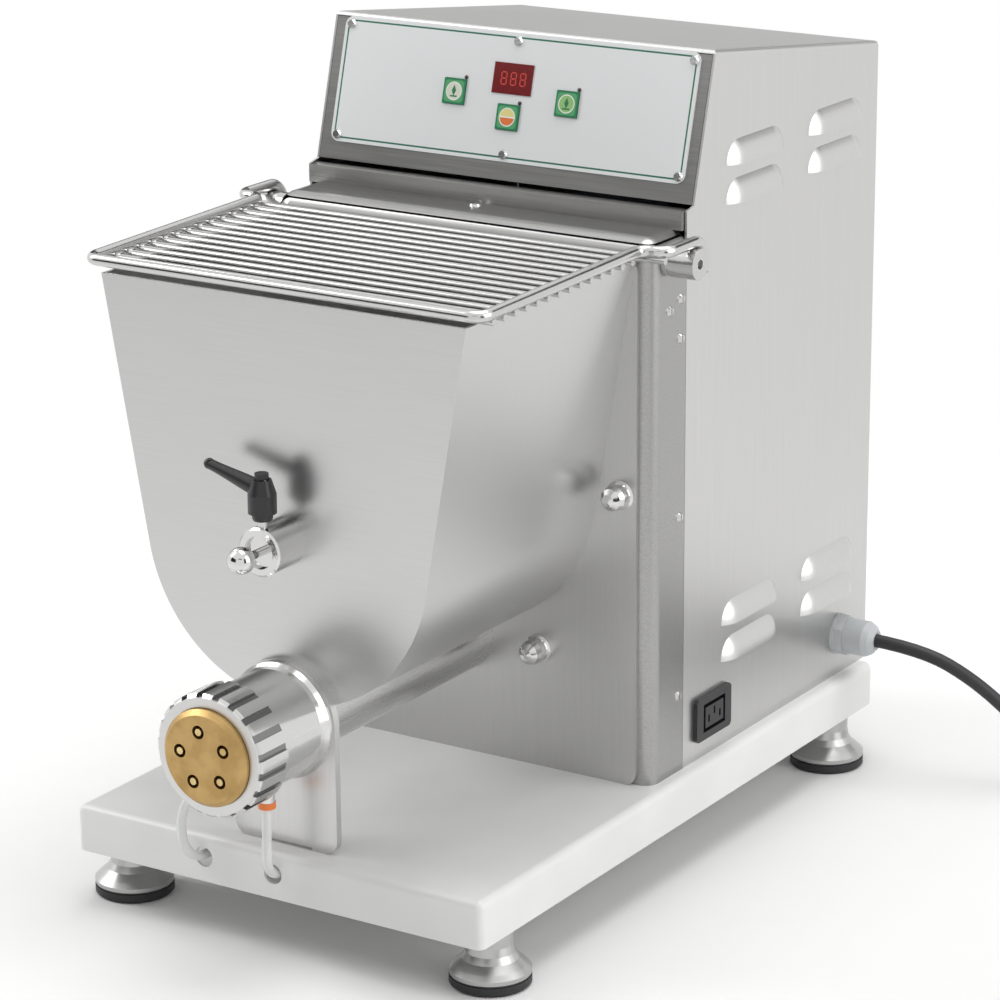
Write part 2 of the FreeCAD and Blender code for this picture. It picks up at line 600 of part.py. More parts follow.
def tank_plate():
    owner = plate("XZ_Plane", [
        ("-plate_half", "pan_top"), ("plate_half", "pan_top"),
        ("plate_half", "plate_top"), ("-plate_half", "plate_top")], "plate_thick", name="Plate")
    round_edges(owner, "plate_round", lambda e: along(e, Y))
    put(owner, "0", "column_front", "0")
    bores = [
        rod("barrel_bore", "3 * plate_thick", "0", "column_front - 2 * plate_thick", "auger_z", TO_Y),
        rod("mixer_shaft_radius + 4", "3 * plate_thick", "0", "column_front - 2 * plate_thick", "mixer_z", TO_Y)]
    studs = [rod("tank_stud_radius + gap", "3 * plate_thick", x, "column_front - 2 * plate_thick", z, TO_Y)
             for x, z in STUDS]
    node(cut(owner, *bores, pair(group(*studs))), "tank_rear_plate")
    face = "column_front - plate_thick"
    nuts = []
    for x, z in STUDS:
        nut = turned([
            ("0", "0"), ("acorn_collar", "0"), ("acorn_collar", "1.5"), ("acorn_radius", "2.2"),
            ("acorn_radius", "acorn_length - acorn_radius"), ("0.87 * acorn_radius", "acorn_length - 0.5 * acorn_radius"),
            ("0.5 * acorn_radius", "acorn_length - 0.13 * acorn_radius"), ("0", "acorn_length")],
            x, face, z, TO_FRONT, "Acorn")
        stud = rod("tank_stud_radius", "plate_thick + column_sheet + 14", x, "(%s) - 8" % face, z, TO_Y)
        nuts.append(fuse(nut, stud))
    node(pair(group(*nuts)), "tank_nuts")


# Extrusion line: barrel, head, die and ring nut on the auger's axis

def support_plate():
    owner = plate("XZ_Plane", [
        ("-support_half", "pan_top"), ("support_half", "pan_top"),
        ("support_half", "auger_z"), ("-support_half", "auger_z")], "support_thick", name="Support")
    low = size("pan_top")
    round_edges(owner, "support_round", lambda e: along(e, Y) and e.BoundBox.ZMax < low + 1)
    put(owner, "0", "tank_front", "0")
    crown = rod("support_half", "support_thick", "0", "tank_front - support_thick", "auger_z", TO_Y)
    bore = rod("barrel_bore", "3 * support_thick", "0", "tank_front - 2 * support_thick", "auger_z", TO_Y)
    notch = centred("support_half", "3 * support_thick", "support_notch", "tank_front - 2 * support_thick", "pan_top")
    node(cut(fuse(owner, crown), bore, notch), "head_support")


def head():
    face = "tank_front - support_thick"
    body_length = "ring_front - ring_lip - die_flange_thick + tank_front - support_thick"
    shell = turned([
        ("barrel_bore", "0"), ("head_base_radius", "0"), ("head_base_radius", "3"),
        ("head_radius + 0.8", "6"), ("head_radius", "9"), ("head_radius", body_length),
        ("barrel_bore + 4", body_length), ("barrel_bore", body_length + " - 12")],
        "0", face, "auger_z", TO_FRONT, "Head")
    node(shell, "extrusion_head")
    ring = turned([
        ("head_radius + shaft_clear", "0"), ("ring_radius - 1", "0"), ("ring_radius", "1"),
        ("ring_radius", "ring_length - 2.2"), ("ring_radius - ring_rib_depth", "ring_length"),
        ("die_nose_radius + gap", "ring_length"), ("die_nose_radius + gap", "ring_length - ring_lip"),
        ("head_radius + shaft_clear", "ring_length - ring_lip")], name="Ring")
    grooves = []
    for k in range(int(size("ring_ribs"))):
        copy = block("ring_rib_depth + 3", "ring_rib_gap", "ring_length + 8", "0", "0", "0")
        angle = 360.0 * (k + 0.5) / int(size("ring_ribs"))
        turn = Rotation(Z, angle)
        reach = turn.multVec(Vector(size("ring_radius") - size("ring_rib_depth"), -size("ring_rib_gap") / 2, -2))
        copy.Placement = Placement(reach, turn)
        for axis in "xyz":
            copy.setExpression("Placement.Base." + axis, None)
        grooves.append(copy)
    ribbed = group(cut(ring, *grooves))
    put(ribbed, "0", "ring_length - ring_front", "auger_z", TO_FRONT)
    node(ribbed, "ring_nut")
    disc = turned([
        ("0", "0"), ("die_flange_radius", "0"), ("die_flange_radius", "die_flange_thick"),
        ("die_nose_radius", "die_flange_thick"),
        ("die_nose_radius", "die_flange_thick + ring_lip + die_nose_out - die_chamfer"),
        ("die_nose_radius - die_chamfer", "die_flange_thick + ring_lip + die_nose_out"),
        ("0", "die_flange_thick + ring_lip + die_nose_out")], name="Die")
    holes, cores = [], []
    depth = "die_flange_thick + ring_lip + die_nose_out"
    for k in range(int(size("die_holes"))):
        angle = math.radians(size("insert_angle") + 360.0 * k / int(size("die_holes")))
        x = "insert_ring_radius * %.6f" % math.cos(angle)
        y = "insert_ring_radius * %.6f" % math.sin(angle)
        holes.append(rod("insert_bore", "2 * (%s)" % depth, x, y, "4"))
        spider = cut(rod("insert_bore", "3", x, y, "4"),
                     block("1.6", "3", "4", "(%s) - 0.8" % x, "(%s) + insert_core + 0.3" % y, "3"),
                     block("1.6", "3", "4", "(%s) - 0.8" % x, "(%s) - insert_core - 3.3" % y, "3"))
        cores.append(fuse(rod("insert_core", "(%s) - 4" % depth, x, y, "4"), spider))
    for part, label in ((cut(disc, *holes), "extrusion_die"), (group(*cores), "die_inserts")):
        seated = group(part)
        put(seated, "0", "ring_lip + die_flange_thick - ring_front", "auger_z", TO_FRONT)
        node(seated, label)


def auger():
    """The screw: a core with one helical flight, and its drive shaft with a key flat."""
    core, outer = size("auger_core"), size("barrel_bore") - size("auger_clear")
    pitch, axis = size("auger_pitch"), size("auger_z")
    start = size("ring_lip") + size("die_flange_thick") - size("ring_front") + 3
    end = size("column_front") - size("plate_thick") - 2
    helix = Part.makeHelix(pitch, end - start - 8, core)
    lead = Vector(0, core, pitch / (2 * math.pi)).normalize()
    half = 2.2
    root = core - 1.5
    profile = Part.makePolygon([
        Vector(root, 0, -half - 1), Vector(outer, 0, -half), Vector(outer, 0, half),
        Vector(root, 0, half + 1), Vector(root, 0, -half - 1)])
    sweep = Part.BRepOffsetAPI.MakePipeShell(Part.Wire(helix))
    sweep.setFrenetMode(True)
    sweep.add(profile)
    sweep.build()
    sweep.makeSolid()
    flight = sweep.shape()
    flight.translate(Vector(0, 0, 4))
    shaft = Part.makeCylinder(core, end - start)
    screw = shaft.fuse(flight).removeSplitter()
    screw.rotate(Vector(), X, -90)
    screw.translate(Vector(0, start, axis))
    tongue = Part.makeBox(6, 12, 1.4 * core, Vector(-3, end, axis - 0.7 * core))
    feature(screw.fuse(tongue).removeSplitter(), "auger_screw")


# Mixer: shaft and paddles, front bearing with its pull-out pin and clamp lever

def mixer():
    rear = "column_front - plate_thick"
    front = "tank_front + tank_sheet + 6"
    shaft = rod("mixer_shaft_radius", "(%s) - (%s) + plate_thick" % (rear, front), "0", front, "mixer_z", TO_Y)
    arms = []
    for k, angle in enumerate((20, 65, 110, 155)):
        y = "tank_front + tank_sheet + 26 + %d * (column_front - tank_front - 50) / 3" % k
        arm = rod("paddle_rod_radius", "2 * paddle_radius - 8", "0", "0", "-paddle_radius + 4")
        blades = [block("24", "5", "14", "-12", "-2.5", z) for z in ("-paddle_radius", "paddle_radius - 14")]
        paddle = group(fuse(arm, *blades))
        put(paddle, "0", y, "mixer_z", Rotation(Y, angle))
        arms.append(paddle)
    socket = rod("pin_nose_radius + shaft_clear", "14", "0", front, "mixer_z", TO_Y)
    drive = block("6.4", "8", "3 * mixer_shaft_radius", "-3.2", rear + " + plate_thick - 6",
                  "mixer_z - 1.5 * mixer_shaft_radius")
    node(cut(fuse(shaft, *arms), socket, drive), "mixing_paddle")


def front_bearing():
    face = "tank_front - boss_length"
    boss = turned([
        ("pin_radius + shaft_clear", "0"), ("boss_radius", "0"), ("boss_radius", "boss_length - 1.2"),
        ("boss_radius - 1.2", "boss_length"), ("pin_radius + shaft_clear", "boss_length")],
        "0", "tank_front", "mixer_z", TO_FRONT, "Boss")
    tap = rod("clamp_stem_radius + shaft_clear", "boss_radius + 4", "0", "clamp_y", "mixer_z")
    node(cut(boss, tap), "bearing_boss")
    nose = "tank_front + tank_sheet + 18 - (%s)" % face
    pin = turned([
        ("0", "pin_recess"), ("pin_radius", "pin_recess"), ("pin_radius", "boss_length + tank_sheet + 3"),
        ("pin_nose_radius", "boss_length + tank_sheet + 3"), ("pin_nose_radius", nose + " - 1"),
        ("pin_nose_radius - 1", nose), ("0", nose)], "0", face, "mixer_z", TO_Y, "Pin")
    neck = rod("pin_neck_radius", "pin_recess + knob_out", "0", "(%s) - knob_out" % face, "mixer_z", TO_Y)
    node(fuse(pin, neck), "bearing_pin")
    knob = cut(ball("knob_radius", "0", "(%s) - knob_out" % face, "mixer_z"),
               rod("pin_neck_radius", "knob_radius + 4", "0", "(%s) - knob_out" % face, "mixer_z", TO_Y))
    node(knob, "pin_knob")


def clamp_lever():
    foot = "mixer_z + pin_radius + 2 * shaft_clear"
    stud = fuse(
        rod("clamp_stem_radius", "hub_bottom_z + 12 - (%s)" % foot, "0", "clamp_y", foot),
        rod("collar_radius - 1.6", "hub_web - 4", "0", "clamp_y", "hub_bottom_z + 3"))
    node(stud, "clamp_stud")
    hub = turned([
        ("collar_radius - 1.5", "0"), ("collar_radius - 0.6", "0"), ("collar_radius", "1.4"), ("collar_radius", "collar_height"),
        ("hub_radius", "collar_height"), ("hub_radius", "0.64 * hub_height"), ("hub_radius - 2.8", "hub_height"),
        ("screw_head_radius + gap", "hub_height"), ("screw_head_radius + gap", "hub_web + hub_web_thick"),
        ("screw_radius + gap", "hub_web + hub_web_thick"), ("screw_radius + gap", "hub_web"),
        ("collar_radius - 1.5", "hub_web")],
        "0", "clamp_y", "hub_bottom_z", name="Hub")
    reach, rise = size("lever_reach"), size("lever_rise")
    arm = doc.addObject("Part::Feature", "Arm")
    arm.Shape = lever_arm(reach, rise)
    put(arm, "0", "clamp_y", "hub_bottom_z")
    room = rod("collar_radius - 1", "hub_height", "0", "clamp_y", "hub_bottom_z")
    node(fuse(hub, cut(arm, room)), "clamp_handle")
    screw = fuse(
        rod("screw_head_radius", "screw_head_height", "0", "clamp_y", "hub_bottom_z + hub_height + gap"),
        rod("screw_radius", "hub_height - hub_web + 1 + gap", "0", "clamp_y", "hub_bottom_z + hub_web - 1"))
    node(screw, "lever_screw")
    web_top = size("hub_web") + size("hub_web_thick")
    foot_z = size("hub_bottom_z") + web_top + size("spring_wire")
    rise = size("hub_height") + size("gap") - web_top - 2 * size("spring_wire")
    helix = Part.makeHelix(rise / size("spring_turns"), rise, size("spring_radius"))
    wire = pipe([e for e in helix.Edges], size("spring_wire"))
    wire.translate(Vector(0, size("clamp_y"), foot_z))
    feature(wire, "lever_spring")


def lever_arm(reach, rise):
    """A tapering round-topped arm from the hub up to the tip."""
    sections, root = [], size("lever_root")
    for share, wide, tall in ((0.1, 5.0, 5.6), (0.35, 4.4, 5.0), (0.7, 3.6, 3.8), (0.97, 3.5, 3.2)):
        centre = Vector(-reach * share, 0, root + (rise - root) * share)
        ellipse = Part.Ellipse(Vector(), max(wide, tall), min(wide, tall)).toShape()
        wire = Part.Wire([ellipse])
        if tall > wide:
            wire.rotate(Vector(), Z, 90)
        wire.rotate(Vector(), Z, 90)
        wire.rotate(Vector(), Y, -90)
        wire.translate(centre)
        sections.append(wire)
    loft = Part.makeLoft(sections, True)
    tip = Part.makeSphere(3.4, Vector(-reach * 0.97, 0, root + (rise - root) * 0.97))
    return loft.fuse(tip)


# Lid: one bent outer rod with its arms, cross bars below it, and two hinge bosses

def bend_path(points, radius):
    """Straight runs joined by tangent arcs of one radius."""
    edges, last = [], points[0]
    for i in range(1, len(points) - 1):
        a, p, b = points[i - 1], points[i], points[i + 1]
        back = (a - p).normalize()
        ahead = (b - p).normalize()
        turn = math.pi - back.getAngle(ahead)
        reach = radius * math.tan(turn / 2)
        start, end = p + back * reach, p + ahead * reach
        middle_way = (back + ahead).normalize()
        arc_mid = p + middle_way * (radius / math.cos(turn / 2) - radius)
        if (start - last).Length > 1e-6:
            edges.append(Part.makeLine(last, start))
        edges.append(Part.Arc(start, arc_mid, end).toShape())
        last = end
    edges.append(Part.makeLine(last, points[-1]))
    return edges


def pipe(edges, radius):
    wire = Part.Wire(edges)
    first = edges[0]
    start = first.valueAt(first.FirstParameter)
    way = first.tangentAt(first.FirstParameter)
    ring = Part.Wire([Part.Circle(start, way, radius).toShape()])
    sweep = Part.BRepOffsetAPI.MakePipeShell(wire)
    sweep.add(ring)
    sweep.build()
    sweep.makeSolid()
    return sweep.shape()


def lid():
    r = size("lid_rod_radius")
    side_x = size("cabinet_width") / 2
    half, arm_x, arm_y = side_x - size("lid_inset"), side_x + size("lid_arm_out"), size("lid_arm_y")
    hinge = Vector(arm_x, size("hinge_y"), size("hinge_z"))
    wrap = size("hinge_boss_radius") + r - 0.2
    low, high = size("lid_front_z"), hinge.z + wrap
    front = size("lid_front")
    corner = Vector(arm_x, arm_y, high)
    inner = Vector(half, arm_y, high)
    points = [Vector(0, front, low), Vector(half, front, low), inner, corner, Vector(arm_x, hinge.y, high)]
    edges = bend_path(points, 2.2 * r)
    top = Vector(arm_x, hinge.y, high)
    rear = Vector(arm_x, hinge.y + wrap * math.sin(math.radians(60)), hinge.z + wrap * math.cos(math.radians(60)))
    end = Vector(arm_x, hinge.y + wrap * math.sin(math.radians(120)), hinge.z + wrap * math.cos(math.radians(120)))
    edges.append(Part.Arc(top, rear, end).toShape())
    side = pipe(edges, r)
    frame = side.fuse(side.mirror(Vector(), X)).removeSplitter()
    feature(frame, "lid_frame")
    bars = []
    count = int(size("lid_bars"))
    for k in range(count):
        share = (k + 1.0) / count
        y = front + (arm_y - front) * share
        z = low + (high - low) * share - r - size("lid_bar_radius") + size("weld_depth")
        reach = arm_x if k == count - 1 else half + 1.5
        bars.append(Part.makeCylinder(size("lid_bar_radius"), 2 * reach, Vector(-reach, y, z), X))
    feature(Part.makeCompound(bars), "lid_bars")
    side = "cabinet_width / 2"
    inner_face = side + " + bush_flange + bush_gap"
    boss = cut(
        rod("hinge_boss_radius", "hinge_boss_length", inner_face, "hinge_y", "hinge_z", TO_X),
        rod("hinge_pin_radius", "hinge_boss_length", inner_face, "hinge_y", "hinge_z", TO_X))
    node(pair(boss), "hinge_bosses")
    pin = cut(
        rod("hinge_pin_radius", "hinge_boss_length + hinge_pin_in + bush_flange + bush_gap",
            side + " - hinge_pin_in", "hinge_y", "hinge_z", TO_X),
        hexagon("hex_socket", "hex_socket", inner_face + " + hinge_boss_length - hex_socket + 1",
                "hinge_y", "hinge_z", TO_X))
    cam = fuse(rod("hinge_pin_radius + 5", "6", side + " - hinge_pin_in", "hinge_y", "hinge_z", TO_X),
               block("6", "8", "5", side + " - hinge_pin_in", "hinge_y - 11", "hinge_z - 2.5"))
    node(group(fuse(pin, cam), mirror(pin)), "hinge_pins")
    bush = cut(
        fuse(rod("hinge_pin_radius + bush_wall", "2 * column_sheet + bush_flange", side + " - 2 * column_sheet",
                 "hinge_y", "hinge_z", TO_X),
             rod("hinge_pin_radius + 5", "bush_flange", side, "hinge_y", "hinge_z", TO_X)),
        rod("hinge_pin_radius + shaft_clear", "4 * column_sheet", side + " - 3 * column_sheet",
            "hinge_y", "hinge_z", TO_X))
    node(pair(bush), "hinge_bushes")
    switch = fuse(
        block("10", "14", "20", "cabinet_width / 2 - 22", "hinge_y - 7", "hinge_z - 30"),
        block("9.5", "16", "2", "cabinet_width / 2 - 12.5", "hinge_y - 8", "hinge_z - 22"))
    node(switch, "lid_switch")


# Mains outlet, cable gland, cord and plug

def outlet():
    face = "cabinet_width / 2"
    flange = plate("YZ_Plane", [
        ("-outlet_length / 2", "-outlet_height / 2 + 2"), ("-outlet_length / 2 + 2", "-outlet_height / 2"),
        ("outlet_length / 2 - 2", "-outlet_height / 2"), ("outlet_length / 2", "-outlet_height / 2 + 2"),
        ("outlet_length / 2", "outlet_height / 2 - 2"), ("outlet_length / 2 - 2", "outlet_height / 2"),
        ("-outlet_length / 2 + 2", "outlet_height / 2"), ("-outlet_length / 2", "outlet_height / 2 - 2")],
        "outlet_proud", name="Outlet")
    put(flange, face, "outlet_y", "outlet_z")
    case = block("22 + cover_sheet", "outlet_length - 7", "outlet_height - 6", "cabinet_width / 2 - 22 - cover_sheet",
                 "outlet_y - (outlet_length - 7) / 2", "outlet_z - (outlet_height - 6) / 2")
    ring = cut(block("12", "28", "19", "cabinet_width / 2 + outlet_proud - 10", "outlet_y - 14", "outlet_z - 9.5"),
               block("14", "23", "14", "cabinet_width / 2 + outlet_proud - 11", "outlet_y - 11.5", "outlet_z - 7"))
    slots = [block("14", "2", "5", "cabinet_width / 2 + outlet_proud - 10", "outlet_y + (%s) - 1" % y, "outlet_z + (%s) - 2.5" % z)
             for y, z in CONTACTS]
    node(cut(fuse(flange, case), ring, *slots), "mains_outlet")
    contacts = [block("6", "1.4", "4", "cabinet_width / 2 + outlet_proud - 9.9", "outlet_y + (%s) - 0.7" % y,
                      "outlet_z + (%s) - 2" % z) for y, z in CONTACTS]
    node(group(*contacts), "outlet_contacts")


CONTACTS = (("-7", "-1.5"), ("0", "2.5"), ("7", "-1.5"))


def gland():
    face = "cabinet_width / 2"
    hexes = cut(
        fuse(rod("gland_hex + 1.5", "2", face, "(cabinet_rear - gland_from_rear)", "gland_z", TO_X),
             hexagon("2 * gland_hex", "6", face + " + 2", "(cabinet_rear - gland_from_rear)", "gland_z", TO_X),
             rod("gland_hex - 2.5", "14", face + " - 10", "(cabinet_rear - gland_from_rear)", "gland_z", TO_X),
             rod("gland_hex - 4.5", "10", face + " + 6", "(cabinet_rear - gland_from_rear)", "gland_z", TO_X)),
        rod("cord_radius + gap", "60", face + " - 30", "(cabinet_rear - gland_from_rear)", "gland_z", TO_X))
    node(hexes, "gland_body")
    cap = turned([
        ("cord_radius + gap", "0"), ("gland_hex - 0.4", "0"), ("gland_hex - 0.4", "gland_reach - 15"),
        ("gland_hex - 2.5", "gland_reach - 11"), ("cord_radius + 2", "gland_reach - 8.2"),
        ("cord_radius + gap", "gland_reach - 8.2")], face + " + 8.2", "(cabinet_rear - gland_from_rear)", "gland_z", TO_X, "Cap")
    hollow = rod("gland_hex - 4.5 + shaft_clear", "8", face + " + 8.1", "(cabinet_rear - gland_from_rear)", "gland_z", TO_X)
    node(cut(cap, hollow), "gland_cap")
    lock = cut(hexagon("2 * gland_hex + 2", "4", face + " - cover_sheet - 4", "(cabinet_rear - gland_from_rear)", "gland_z", TO_X),
               rod("gland_hex - 2.5", "6", face + " - cover_sheet - 5", "(cabinet_rear - gland_from_rear)", "gland_z", TO_X))
    node(lock, "gland_locknut")


CORD_ROUTE = (
    (-6, 0, 0), (34, 0, 0), (70, 8, -18), (97, 24, -48), (121, 46, -74), (152, 62, -89.7), (190, 66, -89.7))
COIL_RADIUS = 61.0
COIL_STEP = 9.7


def cord():
    """The free stretch, from the gland down to the floor, then a flat two-layer coil."""
    r = size("cord_radius")
    start = Vector(size("cabinet_width") / 2 + size("gland_reach"), size("cabinet_rear") - size("gland_from_rear"), size("gland_z"))
    floor = r + 0.1
    points = [start + Vector(*p) for p in CORD_ROUTE]
    for p in points[-2:]:
        p.z = floor
    edges, radii = round_route(points)
    print("cord radii", [round(x, 1) for x in radii], "length", round(sum(e.Length for e in edges), 1))
    feature(pipe(edges, r), "power_cord")
    ahead = (points[-1] - points[-2]).normalize()
    layers, end, way = coil_edges(points[-1], ahead, floor, r)
    print("coil length", round(sum(e.Length for e in layers), 1), "least gap", round(least_gap(layers, 2 * r), 2))
    feature(pipe(layers, r), "power_cord_coil")
    plug(end, way, r)


def round_route(points):
    """Runs joined by arcs as large as the shorter run beside each corner allows."""
    edges, radii, last = [], [], points[0]
    for i in range(1, len(points) - 1):
        a, p, b = points[i - 1], points[i], points[i + 1]
        back, ahead = (a - p), (b - p)
        run = min(back.Length, ahead.Length)
        back.normalize()
        ahead.normalize()
        turn = math.pi - back.getAngle(ahead)
        radius = 0.45 * run / math.tan(turn / 2)
        radii.append(radius)
        reach = 0.45 * run
        start, end = p + back * reach, p + ahead * reach
        mid = p + (back + ahead).normalize() * (radius / math.cos(turn / 2) - radius)
        edges.append(Part.makeLine(last, start))
        edges.append(Part.Arc(start, mid, end).toShape())
        last = end
    edges.append(Part.makeLine(last, points[-1]))
    return edges, radii


def coil_edges(start, ahead, floor, r):
    """Half turns that tighten on the floor, climb one layer and widen again."""
    side = Vector(-ahead.y, ahead.x, 0)
    lift = 2 * r + 0.7
    edges = [Part.makeLine(start, start + ahead * 2 * r)]
    here, way, sign = start + ahead * 2 * r, Vector(ahead), 1
    radii = [COIL_RADIUS - COIL_STEP / 2 * k for k in range(4)]
    half_turns = [(q, 0) for q in radii] + [(radii[-1] - COIL_STEP / 2, lift)] + [(q, 0) for q in reversed(radii)]
    for radius, climb in half_turns:
        centre_way = side * sign
        end = here + centre_way * 2 * radius + Vector(0, 0, climb)
        middle_point = (here + end) * 0.5
        mid = middle_point + way * ((end - here).Length / 2)
        edges.append(Part.Arc(here, mid, end).toShape())
        here, way, sign = end, way * -1, -sign
    tail = here + way * 9 * r
    edges.append(Part.makeLine(here, tail))
    return edges, tail, way


def least_gap(edges, width):
    """Least clear distance between turns that lie more than a third of a turn apart."""
    points, run = [], 0
    for edge in edges:
        count = max(int(edge.Length / 6), 2)
        for i in range(count):
            points.append((run + edge.Length * i / count, edge.discretize(count + 1)[i]))
        run += edge.Length
    least = 1e9
    for i, (a, p) in enumerate(points):
        for b, q in points[i + 1:]:
            if b - a > 90:
                least = min(least, p.distanceToPoint(q))
    return least - width


def plug(end, way, r):
    """A round plug with three pins in a row, lying beside the coil, with its bend relief."""
    relief = Part.makeCone(r + 1, r + 3, 24)
    grip = Part.makeCone(9.5, 12, 16, Vector(0, 0, 24))
    face = Part.makeCylinder(14, 14, Vector(0, 0, 40))
    housing = relief.fuse([grip, face]).removeSplitter()
    pins = [Part.makeCylinder(2, 19, Vector(0, x, 54)) for x in (-9.5, 0, 9.5)]
    for shape, label in ((housing, "mains_plug"), (Part.makeCompound(pins), "plug_pins")):
        shape.Placement = Placement(end, Rotation(Z, way))
        feature(shape.copy(), label)


# Water cooling: two fittings on the head, hoses under the pan, rear connectors

def water():
    y = "-fitting_y"
    out = "head_radius - 2"
    spigots, collars = [], []
    for turn, x in ((Rotation(Y, 180), "4"), (Rotation(Y, 225), "0")):
        spigot = group(fuse(rod("fitting_radius", "fitting_length + 2", "0", "0", out),
                            rod("hose_radius - 0.8", "fitting_length + 9", "0", "0", out)))
        collar = group(cut(rod("fitting_radius + 0.4", "4", "0", "0", out + " + fitting_length + 2"),
                           rod("hose_radius + gap", "4", "0", "0", out + " + fitting_length + 2")))
        spigots.append(put(spigot, x, y, "auger_z", turn))
        collars.append(put(collar, x, y, "auger_z", turn))
    node(cut(group(*spigots), rod("head_radius", "40", "0", "0", "auger_z", TO_FRONT)), "water_fittings")
    node(group(*collars), "fitting_collars")
    near = size("fitting_length") + size("head_radius") - 0.5
    z, low = size("auger_z"), size("hose_hole_z")
    y = -size("fitting_y")
    far = size("pan_depth") - size("pan_sheet") - 8
    slant = near * math.sqrt(0.5)
    left_x, right_x, back_x = -size("hose_hole_left_x"), size("hose_hole_right_x"), size("bulkhead_x")
    left = [Vector(-slant, y, z - slant), Vector(-63, y, z - 63), Vector(left_x - 4, y - 3, low), Vector(left_x, 24, low),
            Vector(-back_x, far - 60, low), Vector(-back_x, far, low)]
    right = [Vector(4, y, z - near), Vector(3, y - 1, low), Vector(right_x, 24, low),
             Vector(back_x, far - 60, low), Vector(back_x, far, low)]
    hoses = [pipe(round_route(route)[0], size("hose_radius")) for route in (left, right)]
    feature(Part.makeCompound(hoses), "water_hoses")
    rear = "pan_depth - pan_sheet"
    connector = cut(
        fuse(hexagon("2 * bulkhead_thread + 5", "5", "bulkhead_x", "pan_depth", "hose_hole_z", TO_Y),
             rod("bulkhead_thread", "bulkhead_reach + 14", "bulkhead_x", rear + " - 12", "hose_hole_z", TO_Y),
             hexagon("2 * bulkhead_thread + 4", "4", "bulkhead_x", rear + " - 4", "hose_hole_z", TO_Y)),
        rod("hose_radius + shaft_clear", "12.5", "bulkhead_x", "pan_depth + bulkhead_reach - 12", "hose_hole_z", TO_Y),
        rod("hose_radius + shaft_clear", "5", "bulkhead_x", rear + " - 12.5", "hose_hole_z", TO_Y))
    node(pair(connector), "hose_connectors")


# Drive: gear case with a gear on each shaft, gearmotor above

def gear_wire(teeth, phase):
    """A closed outline with straight-sided flanks close to a 20 degree involute."""
    m = size("gear_module")
    pitch = m * teeth / 2
    base = pitch * math.cos(math.radians(20))
    slack = size("gear_backlash") / 2 / pitch
    points = []
    for k in range(teeth):
        middle_angle = phase + 2 * math.pi * k / teeth
        for side in (-1, 1):
            radii = (pitch - 1.25 * m, max(base, pitch - m), pitch, pitch + m)
            flank = []
            for q in radii:
                roll = max((q / base) ** 2 - 1, 0) ** 0.5
                involute = roll - math.atan(roll)
                at_pitch = math.tan(math.radians(20)) - math.radians(20)
                half = math.pi / (2 * teeth) - slack + at_pitch - involute
                flank.append((q, side * half))
            if side > 0:
                flank.reverse()
            for q, a in flank:
                points.append(Vector(q * math.cos(middle_angle + a), 0, q * math.sin(middle_angle + a)))
    points.append(points[0])
    return Part.makePolygon(points)


def gear(teeth, phase, z):
    blank = Part.Face(gear_wire(teeth, phase)).extrude(Vector(0, size("gear_face"), 0))
    blank.translate(Vector(0, size("gear_y"), z))
    return blank


def bored(shape, radius, y, z, depth, x=0):
    return shape.cut(Part.makeCylinder(radius, depth, Vector(x, y, z), Y))


